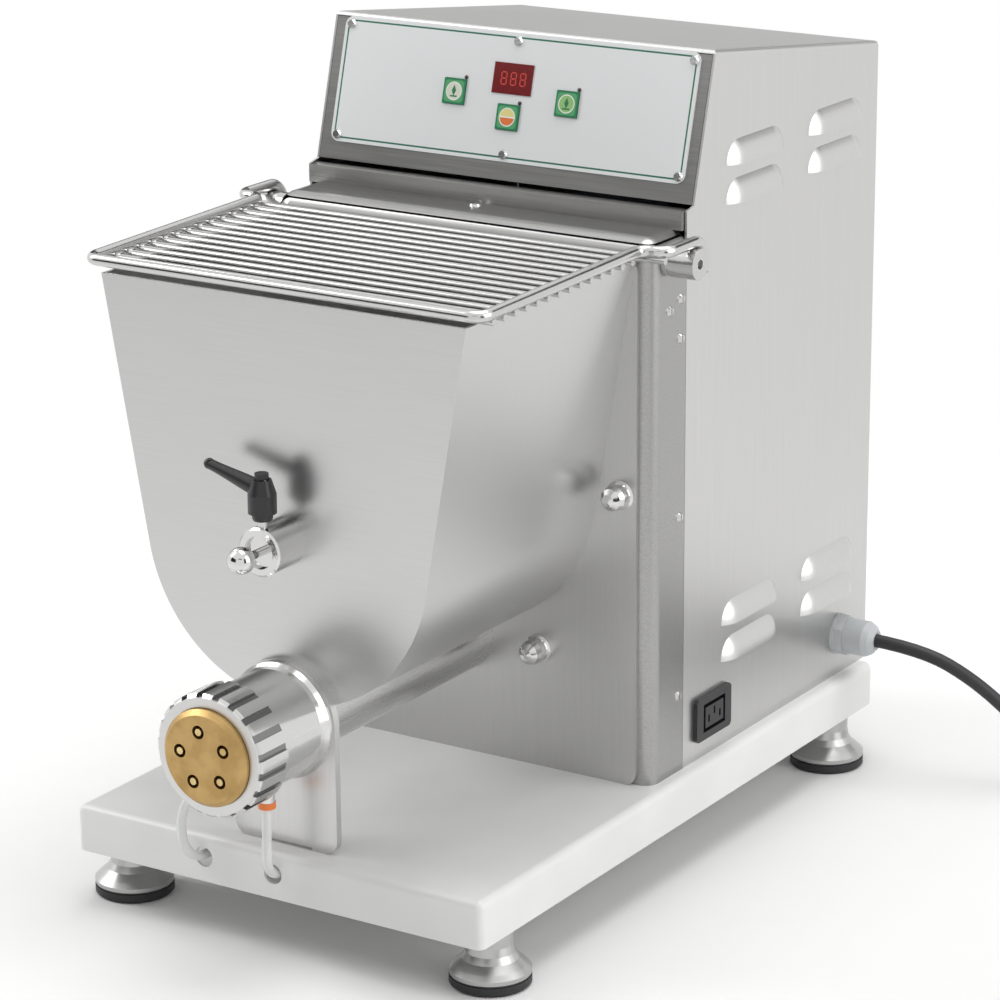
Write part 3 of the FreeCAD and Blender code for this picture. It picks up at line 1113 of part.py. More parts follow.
def drive():
    auger_z, mixer_z, module = size("auger_z"), size("mixer_z"), size("gear_module")
    auger_teeth, mixer_teeth = int(size("auger_teeth")), int(size("mixer_teeth"))
    pinion_teeth = int(size("pinion_teeth"))
    pinion_z = mixer_z + module * (mixer_teeth + pinion_teeth) / 2
    up = math.pi / 2
    shaft, small, clear = size("drive_shaft_radius"), size("pinion_shaft"), size("shaft_clear")
    face = size("column_front")
    front = face + size("column_sheet")
    back = size("gear_y") + size("gear_face") + size("shaft_past_gear")
    rear = back - size("frame_rear") - 2

    tongue_half, tongue_long = 0.3 * shaft, 6
    auger_end = face - 4
    rods = Part.makeCylinder(shaft, back - auger_end, Vector(0, auger_end, auger_z), Y)
    slot_half = tongue_half + 0.1
    slot = Part.makeBox(2 * slot_half, 2 * tongue_long, 2.2 * shaft)
    slot.translate(Vector(-slot_half, auger_end - 0.5, auger_z - 1.1 * shaft))
    auger_gear = gear(auger_teeth, up, auger_z)
    feature(auger_gear.fuse(rods).cut(slot).removeSplitter(), "auger_gear")

    rods = Part.makeCylinder(shaft, back - face - size("gap"), Vector(0, face + size("gap"), mixer_z), Y)
    tongue = Part.makeBox(2 * tongue_half, tongue_long + 1, 1.6 * shaft)
    tongue.translate(Vector(-tongue_half, face - tongue_long + 0.5, mixer_z - 0.8 * shaft))
    mixer_gear = gear(mixer_teeth, up + math.pi / mixer_teeth, mixer_z)
    feature(mixer_gear.fuse([rods, tongue]).removeSplitter(), "mixer_gear")

    rods = Part.makeCylinder(small, back - face + 10, Vector(0, face + 4, pinion_z), Y)
    feature(gear(pinion_teeth, up, pinion_z).fuse(rods).removeSplitter(), "motor_pinion")

    half, pillar = size("frame_half"), size("pillar_radius")
    low, high = auger_z - size("frame_room"), pinion_z + size("frame_room")
    panel = Part.makeBox(2 * half, size("frame_front"), high - low, Vector(-half, front, low))
    rear_panel_box = Part.makeBox(2 * half, size("frame_rear"), high - low, Vector(-half, rear, low))
    pillars = [Part.makeCylinder(pillar, rear - front, Vector(s * (half - pillar - 2), front, z), Y)
               for s in (-1, 1) for z in (low + 10, high - 10)]
    frame = panel.fuse([rear_panel_box] + pillars).removeSplitter()
    for z, outer in ((auger_z, size("bearing_radius")), (mixer_z, size("bearing_radius")),
                     (pinion_z, size("pinion_bearing"))):
        frame = bored(frame, outer, face, z, back - face + 5)
    for x in (-size("nut_low_x"), size("nut_low_x")):
        frame = bored(frame, size("tank_stud_radius") + 1, face, size("nut_low_z"), 15, x)
    feature(frame, "gear_frame")

    rings = []
    for y, thick in ((front, size("frame_front")), (rear, size("frame_rear"))):
        for z, outer, inner in ((auger_z, size("bearing_radius"), shaft), (mixer_z, size("bearing_radius"), shaft),
                                (pinion_z, size("pinion_bearing"), small)):
            ring = Part.makeCylinder(outer, thick, Vector(0, y, z), Y)
            rings.append(bored(ring, inner + clear, y, z, thick))
    thick = size("plate_thick")
    seal = Part.makeCylinder(size("mixer_shaft_radius") + 4, thick, Vector(0, face - thick, mixer_z), Y)
    rings.append(bored(seal, size("mixer_shaft_radius") + clear, face - thick, mixer_z, thick))
    feature(Part.makeCompound(rings), "drive_bearings")

    reducer_face = back - 2
    reducer_length = size("reducer_length")
    reducer = Part.makeCylinder(size("reducer_radius"), reducer_length, Vector(0, reducer_face, pinion_z), Y)
    motor = Part.makeCylinder(size("motor_radius"), size("motor_length"), Vector(0, reducer_face + reducer_length, pinion_z), Y)
    geared = reducer.fuse(motor).removeSplitter()
    feature(bored(geared, small + clear, reducer_face, pinion_z, 18), "gearmotor")


def check_and_write():
    doc.recompute()
    bad = [o.Label for o in doc.Objects if "Invalid" in o.State or "Error" in o.State]
    for piece in nodes:
        if piece.Shape.isNull() or not piece.Shape.isValid():
            bad.append(piece.Label)
    if bad:
        raise RuntimeError("failed pieces: " + ", ".join(bad))
    os.makedirs("parts", exist_ok=True)
    for piece in nodes:
        piece.Shape.exportStep(os.path.join("parts", piece.Label + ".step"))
    print(len(nodes), "pieces written")


base_pan()
feet()
cabinet()
rear_panel()
controls()
column()
tank()
tank_plate()
support_plate()
head()
auger()
mixer()
front_bearing()
clamp_lever()
lid()
outlet()
gland()
cord()
water()
drive()
check_and_write()
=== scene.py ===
import math
import bpy
from mathutils import Matrix, Vector


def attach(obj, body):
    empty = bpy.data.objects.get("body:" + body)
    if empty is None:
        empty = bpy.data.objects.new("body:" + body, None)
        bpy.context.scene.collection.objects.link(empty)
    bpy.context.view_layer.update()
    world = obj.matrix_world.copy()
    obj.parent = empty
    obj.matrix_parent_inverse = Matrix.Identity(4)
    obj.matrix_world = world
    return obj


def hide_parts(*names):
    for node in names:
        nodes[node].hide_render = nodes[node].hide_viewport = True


# Electric pasta maker, dressed round its construction model.
# Row frame: +Z up, -Y to the front where the die is, +X to the side with the cord.

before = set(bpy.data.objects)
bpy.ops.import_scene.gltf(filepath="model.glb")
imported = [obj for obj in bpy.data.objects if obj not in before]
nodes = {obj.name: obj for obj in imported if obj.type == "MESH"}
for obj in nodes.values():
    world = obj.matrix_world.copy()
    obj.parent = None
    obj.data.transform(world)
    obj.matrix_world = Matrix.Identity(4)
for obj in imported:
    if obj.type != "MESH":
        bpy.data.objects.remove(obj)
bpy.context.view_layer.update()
print("frame loaded:", len(nodes), "nodes")

frontY = -0.2228  # front edge of the base pan


def at(x, y, z):
    # millimetres from the front of the base pan, to metres in the row frame
    return Vector((x / 1000, y / 1000 + frontY, z / 1000))


# Shader helpers: a wrapped socket, and a material's node tree

class Wire:
    def __init__(self, tree, socket):
        self.tree = tree
        self.socket = socket

    def math(self, operation, *others):
        return self.tree.add("ShaderNodeMath", {"operation": operation}, [self, *others])

    def __add__(self, other):
        return self.math("ADD", other)

    def __sub__(self, other):
        return self.math("SUBTRACT", other)

    def __mul__(self, other):
        return self.math("MULTIPLY", other)

    def __rsub__(self, other):
        return self.tree.add("ShaderNodeMath", {"operation": "SUBTRACT"}, [other, self])

    def __neg__(self):
        return self.math("MULTIPLY", -1)

    def __abs__(self):
        return self.math("ABSOLUTE")

    def below(self, limit):
        return self.math("LESS_THAN", limit)

    def least(self, other):
        return self.math("MINIMUM", other)

    def most(self, other):
        return self.math("MAXIMUM", other)

    __radd__ = __add__
    __rmul__ = __mul__

    def fade(self, start, end):
        # 0 below start, 1 above end, smooth between
        settings = {"interpolation_type": "SMOOTHSTEP"}
        return self.tree.add("ShaderNodeMapRange", settings, {"Value": self, "From Min": start, "From Max": end})


class Tree:
    def __init__(self, owner):
        owner.use_nodes = True
        self.nodes = owner.node_tree.nodes
        self.links = owner.node_tree.links

    def add(self, kind, settings=None, inputs=None, output=0):
        made = self.nodes.new(kind)
        for word, value in (settings or {}).items():
            setattr(made, word, value)
        pairs = enumerate(inputs) if isinstance(inputs, list) else (inputs or {}).items()
        for place, value in pairs:
            self.feed(made.inputs[place], value)
        return Wire(self, made.outputs[output])

    def feed(self, socket, value):
        if isinstance(value, Wire):
            self.links.new(value.socket, socket)
        else:
            socket.default_value = value

    def seen(self):
        # 1 for what the eye, a reflection or glass sees, 0 for light on a surface
        rays = ("Is Camera Ray", "Is Glossy Ray", "Is Transmission Ray")
        paths = [self.add("ShaderNodeLightPath", output=ray) for ray in rays]
        return paths[0].most(paths[1]).most(paths[2])

    def spot(self):
        # where a point lies in the row frame, in metres
        return self.add("ShaderNodeTexCoord", output=3)

    def parts(self, vector):
        split = self.nodes.new("ShaderNodeSeparateXYZ")
        self.links.new(vector.socket, split.inputs[0])
        return [Wire(self, out) for out in split.outputs]

    def along(self, vector, direction):
        inputs = [vector, tuple(direction)]
        return self.add("ShaderNodeVectorMath", {"operation": "DOT_PRODUCT"}, inputs, "Value")

    def shift(self, vector, by):
        return self.add("ShaderNodeVectorMath", {"operation": "SUBTRACT"}, [vector, tuple(by)])

    def stretch(self, vector, by):
        return self.add("ShaderNodeVectorMath", {"operation": "MULTIPLY"}, [vector, tuple(by)])

    def noise(self, vector, scale, detail=3, rough=0.5):
        inputs = {"Vector": vector, "Scale": scale, "Detail": detail, "Roughness": rough}
        return self.add("ShaderNodeTexNoise", None, inputs)

    def mixColour(self, share, low, high):
        inputs = {0: share, 6: self.colour(low), 7: self.colour(high)}
        return self.add("ShaderNodeMix", {"data_type": "RGBA"}, inputs, 2)

    def colour(self, value):
        return value if isinstance(value, Wire) else (*value, 1)

    def bump(self, height, strength, distance=0.001):
        return self.add("ShaderNodeBump", None, {"Height": height, "Strength": strength, "Distance": distance})


def newMaterial(name):
    material = bpy.data.materials.new(name)
    tree = Tree(material)
    tree.shader = tree.nodes["Principled BSDF"]
    return material, tree


def setShader(tree, **values):
    for word, value in values.items():
        tree.feed(tree.shader.inputs[word], value)


def dress(name, material):
    # the material goes on every slot of a construction node
    target = nodes[name]
    target.data.materials.clear()
    target.data.materials.append(material)


# Metals

grainAlong = {"x": (6, 500, 500), "y": (500, 6, 500), "z": (500, 500, 6)}
steelFinishes = {
    "tankSteel": {"tone": (0.60, 0.60, 0.595), "rough": 0.30, "grain": "x", "streak": 0.02, "cloud": 0.06},
    "sheetSteel": {"tone": (0.61, 0.607, 0.60), "rough": 0.32, "grain": "z", "streak": 0.02, "cloud": 0.06},
    # painted shade: the ledge steel is a darker copy of the sheet steel, for the up-facing top ledge under the weaker
    # top light
    "shadedLedgeSteel": {"tone": (0.40, 0.397, 0.39), "rough": 0.30, "grain": "x", "streak": 0.07, "cloud": 0.06},
    # painted shade: the fascia steel is a darker copy of the sheet steel, for the sloped fascia under the weaker top
    # light
    "shadedFasciaSteel": {"tone": (0.36, 0.357, 0.35), "rough": 0.32, "grain": "x", "streak": 0.07, "cloud": 0.05},
    "barrelSteel": {"tone": (0.58, 0.577, 0.57), "rough": 0.27, "grain": "y", "streak": 0.05, "cloud": 0.06},
    "rodSteel": {"tone": (0.60, 0.597, 0.59), "rough": 0.2, "grain": "x", "streak": 0.03, "cloud": 0.05},
    "gearSteel": {"tone": (0.5, 0.5, 0.5), "rough": 0.35, "grain": "y", "streak": 0.06, "cloud": 0.1},
    "zincSteel": {"tone": (0.66, 0.66, 0.65), "rough": 0.3, "grain": "y", "streak": 0.02, "cloud": 0.08},
}


def brushedSteel(name, finish):
    material, tree = newMaterial(name)
    spot = tree.spot()
    streaks = tree.noise(tree.stretch(spot, grainAlong[finish["grain"]]), 2.2, 4, 0.65)
    cloud = tree.noise(spot, 7, 2)
    tone = finish["tone"]
    darker = [value * (1 - 2 * finish["streak"]) for value in tone]
    colour = tree.mixColour(streaks.fade(0.3, 0.7), darker, tone)
    rough = finish["rough"] + (streaks - 0.5) * finish["streak"] * 2 + (cloud - 0.5) * finish["cloud"]
    setShader(tree, **{"Base Color": colour, "Metallic": 1, "Roughness": rough})
    setShader(tree, Normal=tree.bump(streaks, 0.05, 0.0002))
    return material


steels = {name: brushedSteel(name, finish) for name, finish in steelFinishes.items()}

chromeFinish = {"tone": (0.66, 0.657, 0.65), "rough": 0.12, "cast": 0.16}


def castChrome(name, rough, wave):
    # bright plating over a casting: a faint uneven skin
    material, tree = newMaterial(name)
    spot = tree.spot()
    skin = tree.noise(spot, 160, 3)
    stain = tree.noise(spot, 30, 2)
    setShader(tree, **{"Base Color": (*chromeFinish["tone"], 1), "Metallic": 1})
    setShader(tree, Roughness=rough + (stain - 0.5) * 0.12, Normal=tree.bump(skin, wave, 0.0004))
    return material


polished = castChrome("polishedChrome", chromeFinish["rough"], 0.02)
plated = castChrome("platedCasting", 0.16, chromeFinish["cast"])

ringFinish = {"axis": 147.0, "groove": (35.9, 37.6), "shade": (0.22, 0.22, 0.22), "rough": 0.17}


def ribbedChrome():
    # the grooves of the ring nut get a painted shade, darker than the bright chrome of its lands
    material, tree = newMaterial("ribbedChrome")
    x, y, z = tree.parts(tree.spot())
    rise = z - at(0, 0, ringFinish["axis"]).z
    radius = (x * x + rise * rise).math("SQRT") * 1000
    # painted shade: below the groove radius the tone falls to the dark shade colour
    land = radius.fade(*ringFinish["groove"])
    front = (-y).fade(0.2810, 0.2822)
    tone = tree.mixColour(land.most(front), ringFinish["shade"], chromeFinish["tone"])
    skin = tree.noise(tree.spot(), 160, 3)
    setShader(tree, **{"Base Color": tone, "Metallic": 1, "Roughness": ringFinish["rough"] + front * 0.25})
    setShader(tree, Normal=tree.bump(skin, 0.1, 0.0004))
    return material


brassFinish = {"tone": (0.54, 0.36, 0.15), "shade": (0.40, 0.26, 0.10), "rough": 0.36, "turning": 2600}
insertFinish = {"tone": (0.74, 0.58, 0.30), "shade": (0.50, 0.35, 0.14), "rough": 0.3, "turning": 2600}


def turnedBrass(name, finish):
    material, tree = newMaterial(name)
    x, y, z = tree.parts(tree.spot())
    rise = z - at(0, 0, 147).z
    radius = (x * x + rise * rise).math("SQRT")
    rings = (radius * finish["turning"]).math("SINE")
    stain = tree.noise(tree.spot(), 60, 4)
    colour = tree.mixColour(stain.fade(0.35, 0.75), finish["tone"], finish["shade"])
    setShader(tree, **{"Base Color": colour, "Metallic": 1})
    setShader(tree, Roughness=finish["rough"] + stain * 0.15, Normal=tree.bump(rings, 0.06, 0.0002))
    return material


brass = turnedBrass("turnedBrass", brassFinish)
insertBrass = turnedBrass("insertBrass", insertFinish)
print("metals ready")


# Paints, plastics and rubber

plainFinishes = {
    "panEnamel": {"tone": (0.80, 0.80, 0.79), "rough": 0.32, "grain": 900, "bump": 0.03},
    "footCasting": {"tone": (0.50, 0.50, 0.495), "rough": 0.33, "grain": 500, "bump": 0.06, "metallic": 0.9},
    "soleRubber": {"tone": (0.02, 0.02, 0.022), "rough": 0.55, "grain": 600, "bump": 0.08},
    "leverPlastic": {"tone": (0.018, 0.018, 0.02), "rough": 0.36, "grain": 1400, "bump": 0.14},
    "outletPlastic": {"tone": (0.016, 0.016, 0.018), "rough": 0.4, "grain": 1200, "bump": 0.06},
    "hiddenPlastic": {"tone": (0.06, 0.06, 0.065), "rough": 0.5, "grain": 800, "bump": 0.05},
    "glandPlastic": {"tone": (0.50, 0.52, 0.53), "rough": 0.42, "grain": 900, "bump": 0.05},
    "cordRubber": {"tone": (0.022, 0.022, 0.024), "rough": 0.5, "grain": 900, "bump": 0.08},
    "plugRubber": {"tone": (0.026, 0.026, 0.028), "rough": 0.46, "grain": 1100, "bump": 0.08},
    "collarPlastic": {"tone": (0.80, 0.20, 0.03), "rough": 0.34, "grain": 800, "bump": 0.03},
    "framePaint": {"tone": (0.24, 0.26, 0.28), "rough": 0.45, "grain": 500, "bump": 0.1},
    "motorPaint": {"tone": (0.10, 0.13, 0.18), "rough": 0.4, "grain": 500, "bump": 0.1},
    "boardGreen": {"tone": (0.03, 0.16, 0.07), "rough": 0.4, "grain": 700, "bump": 0.05},
}


def plainFinish(name, finish):
    material, tree = newMaterial(name)
    spot = tree.spot()
    fine = tree.noise(spot, finish["grain"], 3)
    stain = tree.noise(spot, 12, 2)
    tone = finish["tone"]
    worn = [value * 0.93 for value in tone]
    setShader(tree, **{"Base Color": tree.mixColour(stain.fade(0.3, 0.7), tone, worn)})
    setShader(tree, Metallic=finish.get("metallic", 0), Roughness=finish["rough"] + (fine - 0.5) * 0.08)
    setShader(tree, Normal=tree.bump(fine, finish["bump"], 0.0003))
    return material


plains = {name: plainFinish(name, finish) for name, finish in plainFinishes.items()}

hoseFinish = {"tone": (0.86, 0.87, 0.85), "rough": 0.25, "alpha": 0.82}


def hosePlastic():
    material, tree = newMaterial("hosePlastic")
    cloud = tree.noise(tree.spot(), 40, 2)
    tone = tree.mixColour(cloud, hoseFinish["tone"], [value * 0.9 for value in hoseFinish["tone"]])
    setShader(tree, **{"Base Color": tone, "Roughness": hoseFinish["rough"], "Alpha": hoseFinish["alpha"]})
    tree.shader.inputs["Subsurface Weight"].default_value = 0.2
    tree.shader.inputs["Subsurface Radius"].default_value = (0.004, 0.004, 0.004)
    return material


hosePlasticMaterial = hosePlastic()
print("plastics ready")


# Fascia artwork: white film with a thin dark green line, keys and display

fascia = {
    "foot": (259.5, 430.0), "head": (285.0, 522.0), "halfWide": 131.5, "low": 12.0, "high": 93.0,
    "corner": 6.0, "lineIn": 2.2, "lineWide": 1.1, "lineTone": (0.02, 0.16, 0.09), "film": (0.80, 0.815, 0.82),
}
footPoint = at(0, *fascia["foot"])
slopeWay = (at(0, *fascia["head"]) - footPoint).normalized()
outWay = Vector((0, -slopeWay.z, slopeWay.y))


def onFascia(x, s, out=0):
    # millimetres across, up the slope and out of the fascia's face
    return footPoint + Vector((x, 0, 0)) / 1000 + slopeWay * s / 1000 + outWay * out / 1000


def fasciaSpot(tree):
    spot = tree.shift(tree.spot(), footPoint)
    x = tree.parts(spot)[0] * 1000
    return x, tree.along(spot, slopeWay) * 1000


def roundBox(x, y, halfX, halfY, corner):
    # signed distance to a rounded rectangle, below 0 inside
    overX = abs(x) - (halfX - corner)
    overY = abs(y) - (halfY - corner)
    outX = overX.most(0)
    outY = overY.most(0)
    return (outX * outX + outY * outY).math("SQRT") + overX.most(overY).least(0) - corner


def overlayFilm():
    material, tree = newMaterial("overlayFilm")
    x, s = fasciaSpot(tree)
    middle = (fascia["low"] + fascia["high"]) / 2
    halfTall = (fascia["high"] - fascia["low"]) / 2
    edge = roundBox(x, s - middle, fascia["halfWide"], halfTall, fascia["corner"])
    line = abs(edge + (fascia["lineIn"] + fascia["lineWide"] / 2)).below(fascia["lineWide"] / 2)
    tone = tree.mixColour(line, fascia["film"], fascia["lineTone"])
    fine = tree.noise(tree.spot(), 900, 2)
    setShader(tree, **{"Base Color": tone, "Roughness": 0.3 + fine * 0.08})
    setShader(tree, Normal=tree.bump(fine, 0.02, 0.0002))
    return material


keys = {
    "key_left": {"x": -41.8, "s": 52.5, "disc": (0.70, 0.73, 0.62), "lower": (0.70, 0.73, 0.62), "leaf": True},
    "key_start_stop": {"x": 0.0, "s": 40.0, "disc": (0.80, 0.72, 0.28), "lower": (0.78, 0.20, 0.05), "leaf": False},
    "key_right": {"x": 41.8, "s": 52.5, "disc": (0.30, 0.55, 0.20), "lower": (0.30, 0.55, 0.20), "leaf": True},
}
keyPrint = {
    "half": 8.0, "rim": 1.1, "corner": 2.0, "discRadius": 5.6, "green": (0.02, 0.22, 0.09), "face": (0.10, 0.38, 0.16),
}


def keyFace(name, key):
    material, tree = newMaterial(name + "Print")
    x, s = fasciaSpot(tree)
    x = x - key["x"]
    s = s - key["s"]
    faceHalf = keyPrint["half"] - keyPrint["rim"]
    inside = roundBox(x, s, faceHalf, faceHalf, keyPrint["corner"])
    tone = tree.mixColour(inside.below(0), keyPrint["green"], keyPrint["face"])
    radius = (x * x + s * s).math("SQRT")
    disc = radius.below(keyPrint["discRadius"])
    halves = tree.mixColour(s.below(0), key["disc"], key["lower"])
    tone = tree.mixColour(disc, tone, halves)
    ring = abs(radius - keyPrint["discRadius"]).below(0.35)
    tone = tree.mixColour(ring, tone, (0.85, 0.86, 0.80))
    if key["leaf"]:
        blade = (abs(x) * 2.2 + abs(s - 0.4)).below(3.6)
        bar = abs(s + 3.2).below(0.5) * abs(x).below(2.6)
        tone = tree.mixColour(blade.most(bar), tone, (0.03, 0.20, 0.08))
    else:
        bar = abs(s).below(0.45) * abs(x).below(5.2)
        tone = tree.mixColour(bar, tone, (0.9, 0.9, 0.86))
    setShader(tree, **{"Base Color": tone, "Roughness": 0.32})
    tree.shader.inputs["Coat Weight"].default_value = 0.3
    return material


def redWindow():
    material, tree = newMaterial("redWindow")
    cloud = tree.noise(tree.spot(), 200, 2)
    tone = tree.mixColour(cloud, (0.20, 0.010, 0.012), (0.15, 0.006, 0.009))
    setShader(tree, **{"Base Color": tone, "Roughness": 0.16})
    tree.shader.inputs["Coat Weight"].default_value = 0.5
    return material


def lensRed():
    material, tree = newMaterial("indicatorLens")
    cloud = tree.noise(tree.spot(), 300, 2)
    tone = tree.mixColour(cloud, (0.03, 0.022, 0.022), (0.06, 0.03, 0.03))
    setShader(tree, **{"Base Color": tone, "Roughness": 0.15})
    return material


# What each construction node is made of
nodeFinish = {
    steels["tankSteel"]: ["tank"],
    steels["sheetSteel"]: ["cabinet_cover", "rear_panel", "tank_rear_plate", "head_support"],
    # painted shade: the front column takes the darkened copy of the sheet steel
    steels["shadedLedgeSteel"]: ["front_column"],
    # painted shade: the fascia takes the darkened copy of the sheet steel
    steels["shadedFasciaSteel"]: ["control_fascia"],
    steels["barrelSteel"]: ["auger_barrel", "auger_screw", "mixing_paddle"],
    steels["rodSteel"]: ["lid_frame", "lid_bars", "hinge_bosses", "slotted_screws"],
    steels["gearSteel"]: ["auger_gear", "mixer_gear", "motor_pinion"],
    steels["zincSteel"]: ["foot_nuts", "clamp_stud", "lever_spring", "hinge_pins", "hinge_bushes", "drive_bearings"],
    polished: ["bearing_boss", "bearing_pin", "pin_knob", "tank_nuts", "ledge_plug", "water_fittings",
               "hose_connectors", "plug_pins"],
    plated: ["extrusion_head"],
    ribbedChrome(): ["ring_nut"],
    brass: ["extrusion_die", "outlet_contacts"],
    insertBrass: ["die_inserts"],
    plains["panEnamel"]: ["base_pan"],
    plains["footCasting"]: ["adjustable_feet"],
    plains["soleRubber"]: ["foot_soles"],
    plains["leverPlastic"]: ["clamp_handle", "lever_screw"],
    plains["outletPlastic"]: ["mains_outlet"],
    plains["hiddenPlastic"]: ["lid_switch"],
    plains["glandPlastic"]: ["gland_body", "gland_cap", "gland_locknut"],
    plains["cordRubber"]: ["power_cord", "power_cord_coil"],
    plains["plugRubber"]: ["mains_plug"],
    plains["collarPlastic"]: ["fitting_collars"],
    plains["framePaint"]: ["gear_frame"],
    plains["motorPaint"]: ["gearmotor"],
    plains["boardGreen"]: ["control_board"],
    hosePlasticMaterial: ["water_hoses"],
    overlayFilm(): ["control_overlay"],
    redWindow(): ["display_window"],
    lensRed(): ["indicator_leds"],
}
for material, names in nodeFinish.items():
    for name in names:
        dress(name, material)
for name, key in keys.items():
    dress(name, keyFace(name, key))
bare = [name for name in nodes if not nodes[name].data.materials]
print("finishes given, nodes left bare:", bare)


# Mesh helpers

# Fine rounded edges catch the light on folded sheet and machined pieces, widths in millimetres
edgeWidths = {
    "base_pan": 1.0, "cabinet_cover": 0.4, "front_column": 0.4, "control_fascia": 0.5, "head_support": 0.4,
    "extrusion_head": 0.35, "ring_nut": 0.3, "extrusion_die": 0.5, "mains_outlet": 0.4, "hinge_bosses": 0.4,
}
for name, width in edgeWidths.items():
    rounding = nodes[name].modifiers.new("fineEdge", "BEVEL")
    rounding.width = width / 1000
    rounding.segments = 2
    rounding.limit_method = "ANGLE"
    rounding.angle_limit = math.radians(50)
    rounding.harden_normals = False
print("edges rounded")


def newPiece(name, vertices, faces, material, body="machine", smooth=False):
    mesh = bpy.data.meshes.new(name)
    mesh.from_pydata([tuple(v) for v in vertices], [], faces)
    mesh.update()
    for face in mesh.polygons:
        face.use_smooth = smooth
    piece = bpy.data.objects.new(name, mesh)
    bpy.context.scene.collection.objects.link(piece)
    mesh.materials.append(material)
    if body:
        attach(piece, body)
    return piece


def boxPoints(centre, across, up, out):
    # eight corners of a box from its centre and three half-edge vectors
    corners = []
    for a in (-1, 1):
        for b in (-1, 1):
            for c in (-1, 1):
                corners.append(centre + across * a + up * b + out * c)
    return corners


boxFaces = [(0, 1, 3, 2), (4, 6, 7, 5), (0, 4, 5, 1), (2, 3, 7, 6), (0, 2, 6, 4), (1, 5, 7, 3)]


def joinedBoxes(boxes):
    vertices, faces = [], []
    for corners in boxes:
        start = len(vertices)
        vertices += corners
        faces += [tuple(start + i for i in face) for face in boxFaces]
    return vertices, faces


# Display digits: three seven-bar figures behind the red window

digits = {
    "shown": ("8", "8", "8"), "wide": 4.6, "tall": 8.6, "bar": 0.8, "pitch": 7.0, "centre": (0.6, 64.2), "out": 1.62,
}
figureBars = {"8": "abcdefg"}
barPlaces = {"a": (0, 1, "x"), "g": (0, 0, "x"), "d": (0, -1, "x"), "f": (-1, 0.5, "s"), "b": (1, 0.5, "s"),
             "e": (-1, -0.5, "s"), "c": (1, -0.5, "s")}


def displayDigits():
    material, tree = newMaterial("litBars")
    cloud = tree.noise(tree.spot(), 400, 1)
    tone = tree.mixColour(cloud, (0.62, 0.06, 0.04), (0.5, 0.04, 0.03))
    setShader(tree, **{"Base Color": tone, "Roughness": 0.4})
    tree.feed(tree.shader.inputs["Emission Color"], (1, 0.08, 0.05, 1))
    tree.shader.inputs["Emission Strength"].default_value = 0.05
    bars = []
    for place, figure in enumerate(digits["shown"]):
        centreX = digits["centre"][0] + (place - 1) * digits["pitch"]
        for word in figureBars[figure]:
            side, level, way = barPlaces[word]
            x = centreX + side * (digits["wide"] / 2 - digits["bar"] / 2)
            s = digits["centre"][1] + level * (digits["tall"] / 2 - digits["bar"] / 2)
            long = digits["wide"] / 2 - digits["bar"] if way == "x" else digits["tall"] / 4 - 0.7 * digits["bar"]
            halfX, halfS = (long, digits["bar"] / 2) if way == "x" else (digits["bar"] / 2, long)
            bars.append(boxPoints(onFascia(x, s, digits["out"]), Vector((halfX / 1000, 0, 0)),
                                  slopeWay * halfS / 1000, outWay * 0.00004))
    newPiece("displayDigits", *joinedBoxes(bars), material)


displayDigits()
print("display ready")


# Mains cord: the free stretch and the coil that is put away

cordFacts = {
    "radius": 0.0045, "length": 1.78, "coilRadius": 61.0, "coilStep": 9.7, "lift": 9.7, "perHalfTurn": 8,
    "route": ((-6, 0, 0), (34, 0, 0), (70, 8, -18), (97, 24, -48), (121, 46, -74),
              (152, 62, -89.7), (190, 66, -89.7)),
    "start": (169.5, 463, 94.3), "floor": 4.6,
}


def coilPoints(start, ahead):
    # corners outside half turns that tighten on the floor, climb one layer and widen again
    radii = [cordFacts["coilRadius"] - cordFacts["coilStep"] / 2 * k for k in range(4)]
    turns = [(radius, 0) for radius in radii]
    turns += [(radii[-1] - cordFacts["coilStep"] / 2, cordFacts["lift"])]
    turns += [(radius, 0) for radius in reversed(radii)]
    side = Vector((-ahead.y, ahead.x, 0))
    here, way, sign = start, Vector(ahead), 1
    points = []
    count = cordFacts["perHalfTurn"]
    step = math.pi / count
    for radius, climb in turns:
        centre = here + side * sign * radius
        outward = -side * sign
        reach = radius / math.cos(step / 2)
        for k in range(count):
            angle = (k + 0.5) * step
            rise = Vector((0, 0, climb * (k + 0.5) / count))
            points.append(centre + outward * math.cos(angle) * reach + way * math.sin(angle) * reach + rise)
        here = here + side * sign * 2 * radius + Vector((0, 0, climb))
        way, sign = -way, -sign
    return points, here, way


def cordCurve(name, points, radius, material):
    curve = bpy.data.curves.new(name, "CURVE")
    curve.dimensions = "3D"
    curve.bevel_depth = radius
    curve.bevel_resolution = 6
    curve.resolution_u = 6
    curve.use_fill_caps = True
    spline = curve.splines.new("NURBS")
    spline.points.add(len(points) - 1)
    for point, place in zip(spline.points, points):
        point.co = (*place, 1)
    spline.order_u = 3
    spline.use_endpoint_u = True
    curve.materials.append(material)
    piece = bpy.data.objects.new(name, curve)
    bpy.context.scene.collection.objects.link(piece)
    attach(piece, "machine")
    return piece


def mainsCord():
    start = Vector(cordFacts["start"])
    route = [start + Vector(step) for step in cordFacts["route"]]
    for point in route[-2:]:
        point.z = cordFacts["floor"]
    ahead = (route[-1] - route[-2]).normalized()
    diameter = 2000 * cordFacts["radius"]
    coilStart = route[-1] + ahead * diameter
    turns, end, way = coilPoints(coilStart, ahead)
    tail = end + way * 4.5 * diameter
    points = [at(*point) for point in route[:-1] + turns + [end + way * diameter, tail]]
    cord = cordCurve("mainsCord", points, cordFacts["radius"], plains["cordRubber"])
    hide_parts("power_cord", "power_cord_coil")
    return cord, at(*tail)


cord, cordEnd = mainsCord()
tuple(at(*cordFacts["start"]))


# Stage: pale floor, soft studio light, reflector cards, camera at the photograph's place

